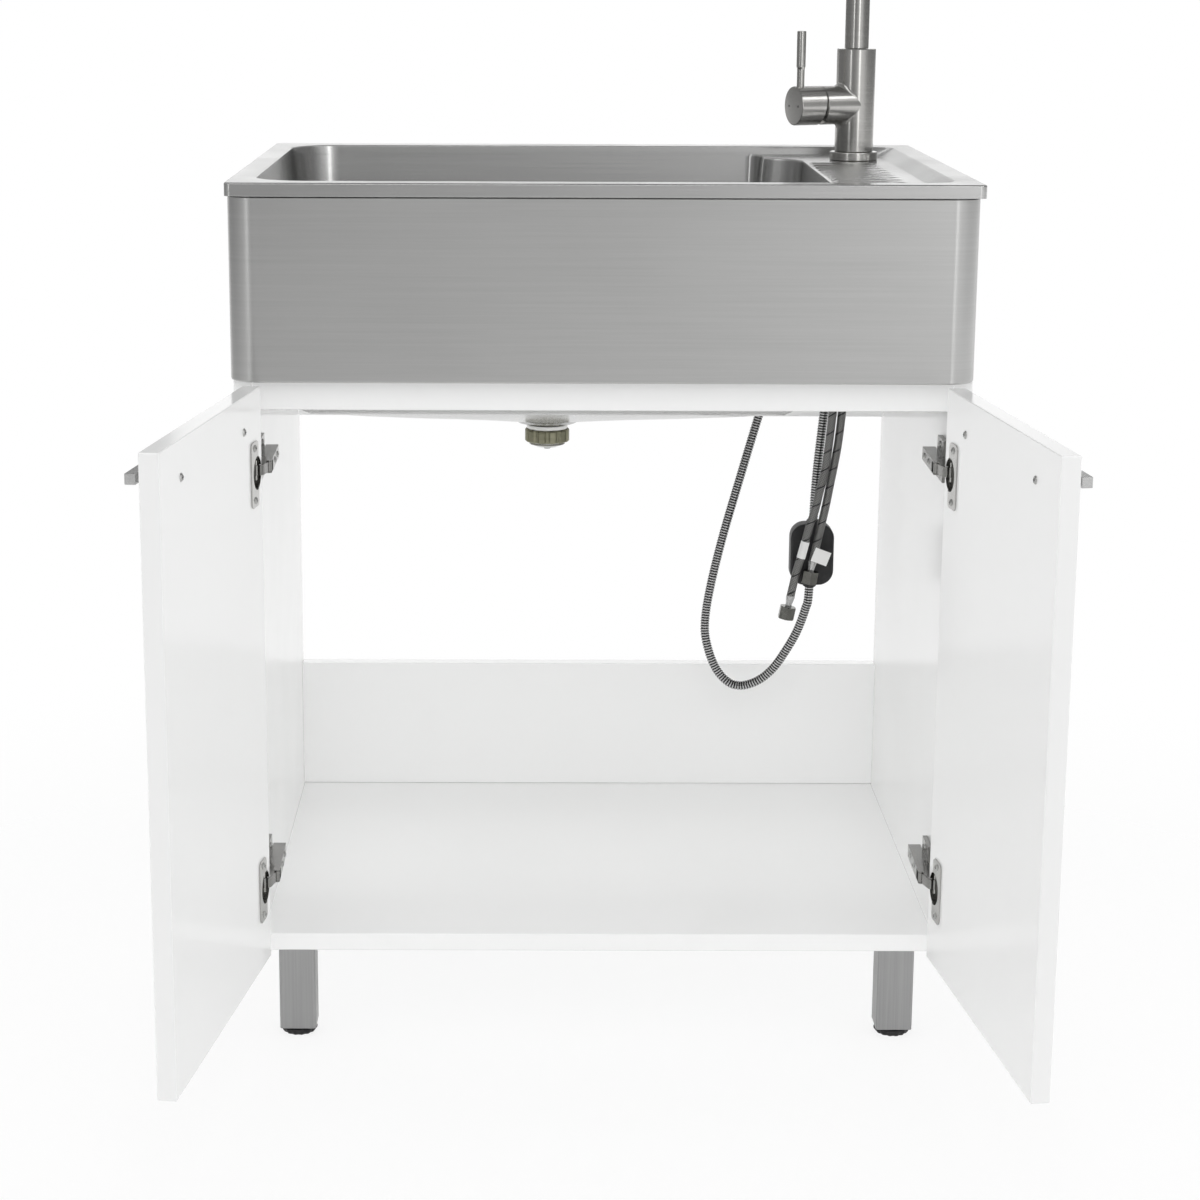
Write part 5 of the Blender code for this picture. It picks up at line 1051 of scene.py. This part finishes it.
def wire_braid(strand_count, strand_pitch, tracer_pitch):
    """Braided wire from the hose's own girth and length: crossing strands with painted shade towards their
    edges, dark rubber in the gaps and a dark tracer.
    """
    made, tree = new_finish("steel_braid")
    feed(tree, tree.nodes["Principled BSDF"], {"Metallic": 0.85})
    place = uv_parts(tree, "girth")
    round_it = worked(tree, "MULTIPLY", place["X"], strand_count)
    along_it = worked(tree, "MULTIPLY", place["Y"], 1.0 / strand_pitch)
    strands = []
    for lean in ("ADD", "SUBTRACT"):
        turns = worked(tree, "MULTIPLY", worked(tree, lean, round_it, along_it), math.pi)
        strands.append(worked(tree, "ABSOLUTE", worked(tree, "SINE", turns)))
    weave = worked(tree, "MAXIMUM", *strands)
    climb = worked(tree, "MULTIPLY", place["Y"], 1.0 / tracer_pitch)
    helix = worked(tree, "FRACT", worked(tree, "ADD", place["X"], climb))
    tracer = worked(tree, "LESS_THAN", helix, 0.085)
    crossed = worked(tree, "MULTIPLY", worked(tree, "LESS_THAN", strands[1], 0.55), 0.35)
    dark_strand = worked(tree, "MULTIPLY", tracer, worked(tree, "SUBTRACT", 1.0, crossed))
    # Painted shade: each strand darkens from its crest towards its edges, down to the dark rubber showing in
    # the gaps
    wire = blended(
        tree, worked(tree, "POWER", weave, 2.0), (0.045, 0.045, 0.045, 1.0), (0.25, 0.25, 0.243, 1.0))
    colour = blended(tree, dark_strand, wire, (0.012, 0.012, 0.013, 1.0))
    dress(tree, colour, weave, (0.55, 0.34), weave, 0.5, 0.0004)
    return made


steel_braid = wire_braid(strand_count=10.0, strand_pitch=0.0032, tracer_pitch=0.0212)
braid_radius = 4.7
nut_steel = brushed_steel(
    "nut_steel", (0.11, 0.11, 0.1), (0.19, 0.187, 0.175), (90.0, 90.0, 90.0), rough=(0.16, 0.26),
    anisotropy=0.0, depth=0.03)
handle_steel = brushed_steel(
    "handle_steel", (0.42, 0.42, 0.42), (0.56, 0.56, 0.555), (420.0, 420.0, 420.0), rough=(0.19, 0.26),
    anisotropy=0.0)
tag_paper = grained("tag_paper", (0.76, 0.76, 0.75), (0.84, 0.84, 0.83), (0.55, 0.7), 1200.0, 0.15)
hose_nut = [(6.0, 12.6), (9.0, 12.6), (9.82, 13.2), (9.82, 26.3), (9.0, 27.3), (6.4, 27.3), (6.0, 26.9),
            (6.0, 18.3), (0.0, 18.3), (0.0, 12.6), (6.0, 12.6)]
ferrule = [(0.0, -0.6), (4.7, -0.6), (4.95, -0.2), (4.95, 2.4), (4.6, 4.4), (3.7, 8.6), (3.6, 12.9),
           (0.0, 12.9)]
wrapped_tag = [(4.75, -10.0), (5.0, -10.0), (5.0, 10.0), (4.75, 10.0), (4.75, -10.0)]
for water, route, tag_height in (("cold", cold_route, 448.0), ("hot", hot_route, 445.0)):
    path, length = smooth_path(route, path_step)
    at_end = Matrix.Translation(path[-1] - origin) @ along((path[-1] - path[-2]).normalized())
    nut = turned(hose_nut, 72)
    cut_flats(nut, 8.5, 7.0, 30.0)
    with_pieces = [
        show(f"{water}_nut", nut, "cabinet", nut_steel, "nickel_plate", f"{water}_hose_nut", way=at_end),
        show(f"{water}_ferrule", turned(ferrule, 32), "cabinet", handle_steel, "nickel_plate", way=at_end)]
    tag_index = min(range(len(path)), key=lambda index: abs(path[index].z - tag_height * mm))
    tag_run = (path[tag_index + 1] - path[tag_index - 1]).normalized()
    at_tag = Matrix.Translation(path[tag_index] - origin) @ along(tag_run)
    if water == "cold":
        tag = turned(wrapped_tag, 40)
    else:
        # The flag hangs a little askew and faces the front
        level = at_tag.to_3x3().inverted() @ Vector((1.0, 0.0, 0.0))
        tag = block((-2.0, 4.75, -8.2), (17.0, 5.0, 8.2))
        shifted(tag, Matrix.Rotation(math.atan2(level.y, level.x), 4, "Z") @ swung(-10.0, "Y"))
        bmesh.ops.subdivide_edges(tag, edges=edges_along(tag, 0), cuts=6)
    with_pieces.append(show(f"{water}_tag", tag, "cabinet", tag_paper, "white_plastic", way=at_tag))
    count = round(length / ring_step)
    rings = [(length * number / count, braid_radius * mm) for number in range(count + 1)]
    skin = hose_skin(path, length, rings, 20)
    hang(f"{water}_hose_braid", skin, steel_braid, f"{water}_hose")

# Door handles
# A square steel bar on two square posts, finely brushed. Two pan head screws go through the door from its
# inner face into the posts.
door_open = {"left": math.radians(98.0), "right": math.radians(96.5)}
arm_pin_out, arm_pin_front, cup_pin_out, cup_pin_front, link_share = 327.6, -262.3, 351.4, -258.5, 0.75
screw_steel = brushed_steel(
    "screw_steel", (0.42, 0.42, 0.41), (0.58, 0.58, 0.57), (120.0, 120.0, 120.0), rough=(0.28, 0.38),
    anisotropy=0.0, depth=0.03)


def screws(name, body, places, radius, rise, facing, way=None):
    """Pan heads facing along one axis, each with a black cross set in it as painted shade of a cross recess.
    """
    long, narrow, low, high = 0.52 * radius, 0.12 * radius, 0.5 * rise, 1.09 * rise
    pan = [(0.0, -0.3), (radius, -0.3), (radius, 0.2), (0.86 * radius, 0.62 * rise), (0.5 * radius, rise),
           (0.0, 1.06 * rise)]
    heads, slot_shade_blocks = [], []
    for place in places:
        at_screw = moved(*place) @ facing
        heads.append(shifted(turned(pan, 32), at_screw))
        for half_x, half_y in ((long, narrow), (narrow, long)):
            # Painted shade: a black cross block stands for the shade inside a cross recess, which the head
            # doesn't have
            slot_shade_blocks.append(shifted(block((-half_x, -half_y, low), (half_x, half_y, high)), at_screw))
    show(f"{name}_screws", joined(*heads), body, screw_steel, "nickel_plate", way=way)
    show(f"{name}_screw_slot_shade", joined(*slot_shade_blocks), body, black_plastic, "black_plastic", way=way)


def door_way(side):
    """From a door's closed place to the open one: its cup pins ride on the links, and it turns on them."""
    sign = side_signs[side]
    arm_pin = Vector((sign * arm_pin_out, arm_pin_front, 0.0)) * mm
    cup_pin = Vector((sign * cup_pin_out, cup_pin_front, 0.0)) * mm
    link_turn = Matrix.Rotation(-sign * link_share * door_open[side], 4, "Z")
    open_pin = arm_pin + link_turn @ (cup_pin - arm_pin)
    return (Matrix.Translation(open_pin) @ Matrix.Rotation(sign * door_open[side], 4, "Z")
            @ Matrix.Translation(-cup_pin))


door_edge, door_inside, handle_height, bar_half = 361.0, -255.0, 670.5, 5.0
handle_blocks = (
    (51.75, 307.75, -301.0, -291.0), (62.75, 72.75, -291.4, -273.3), (286.75, 296.75, -291.4, -273.3))
inward = swung(-90.0, "X")
for side, sign in side_signs.items():
    bars = []
    for near, far, low, high in handle_blocks:
        ends = sorted((sign * (door_edge - near), sign * (door_edge - far)))
        bar = block((ends[0], low, handle_height - bar_half), (ends[1], high, handle_height + bar_half))
        soften(bar, 0.7 * mm, 3, 60.0)
        bars.append(bar)
    show(f"{side}_handle_bar", joined(*bars), f"{side}_door", handle_steel, "leg_steel", f"{side}_handle",
         way=door_way(side))
    screw_places = [(sign * (door_edge - post), door_inside, handle_height) for post in (67.75, 291.75)]
    screws(f"{side}_handle", f"{side}_door", screw_places, 4.0, 1.9, inward, door_way(side))

# Concealed hinges
# Pressed and nickel-plated steel. An arm with its mounting plate is screwed to the side panel, a cup is sunk
# and screwed into the door, and a bent link joins the two on riveted pins.
nickel = brushed_steel(
    "nickel_plate", (0.4, 0.396, 0.383), (0.52, 0.515, 0.5), (90.0, 90.0, 90.0), rough=(0.16, 0.26),
    anisotropy=0.0, depth=0.03)
arm_nickel = brushed_steel(
    "arm_nickel", (0.22, 0.218, 0.21), (0.32, 0.317, 0.305), (90.0, 90.0, 90.0), rough=(0.2, 0.26),
    anisotropy=0.0, depth=0.03)


def plated(node, width):
    """A copy of a pressed solid with its edges broken."""
    made = bmesh.new()
    made.from_mesh(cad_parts[node].data)
    bmesh.ops.remove_doubles(made, verts=made.verts, dist=0.000002)
    bmesh.ops.dissolve_limit(
        made, angle_limit=math.radians(1.0), use_dissolve_boundaries=False, verts=made.verts,
        edges=made.edges)
    soften(made, width, 2, 50.0)
    return made


cup_in, arm_face, panel_front = 31.5, 343.5, -253.0
arm_screws = ((5.3, 41.0, -15.0), (5.3, 41.0, 15.0), (18.6, 26.0, 0.0), (18.2, 56.0, 0.0))
for side, sign in side_signs.items():
    door = f"{side}_door"
    for level, height in (("upper", 623.0), ("lower", 200.0)):
        hinge = f"{side}_{level}"
        for part, body, finish in (
                ("arm", "cabinet", arm_nickel), ("link", f"{side}_hinge_links", arm_nickel),
                ("cup", door, nickel)):
            node = f"{hinge}_hinge_{part}"
            show(f"{hinge}_{part}", plated(node, 0.35 * mm), body, finish, "nickel_plate", node,
                 way=drawn_in_place)
        cup_places = [
            (sign * (door_edge - cup_in), panel_front - 0.5, height + rise) for rise in (-25.5, 25.5)]
        screws(f"{hinge}_cup", door, cup_places, 3.6, 1.5, inward, door_way(side))
        arm_places = [(sign * (arm_face - reach), panel_front + behind, height + rise)
                      for reach, behind, rise in arm_screws]
        screws(f"{hinge}_arm", "cabinet", arm_places, 3.4, 1.4, swung(-90.0 * sign, "Y"))

# Size
# The box of the solids.
low, high = cad_box
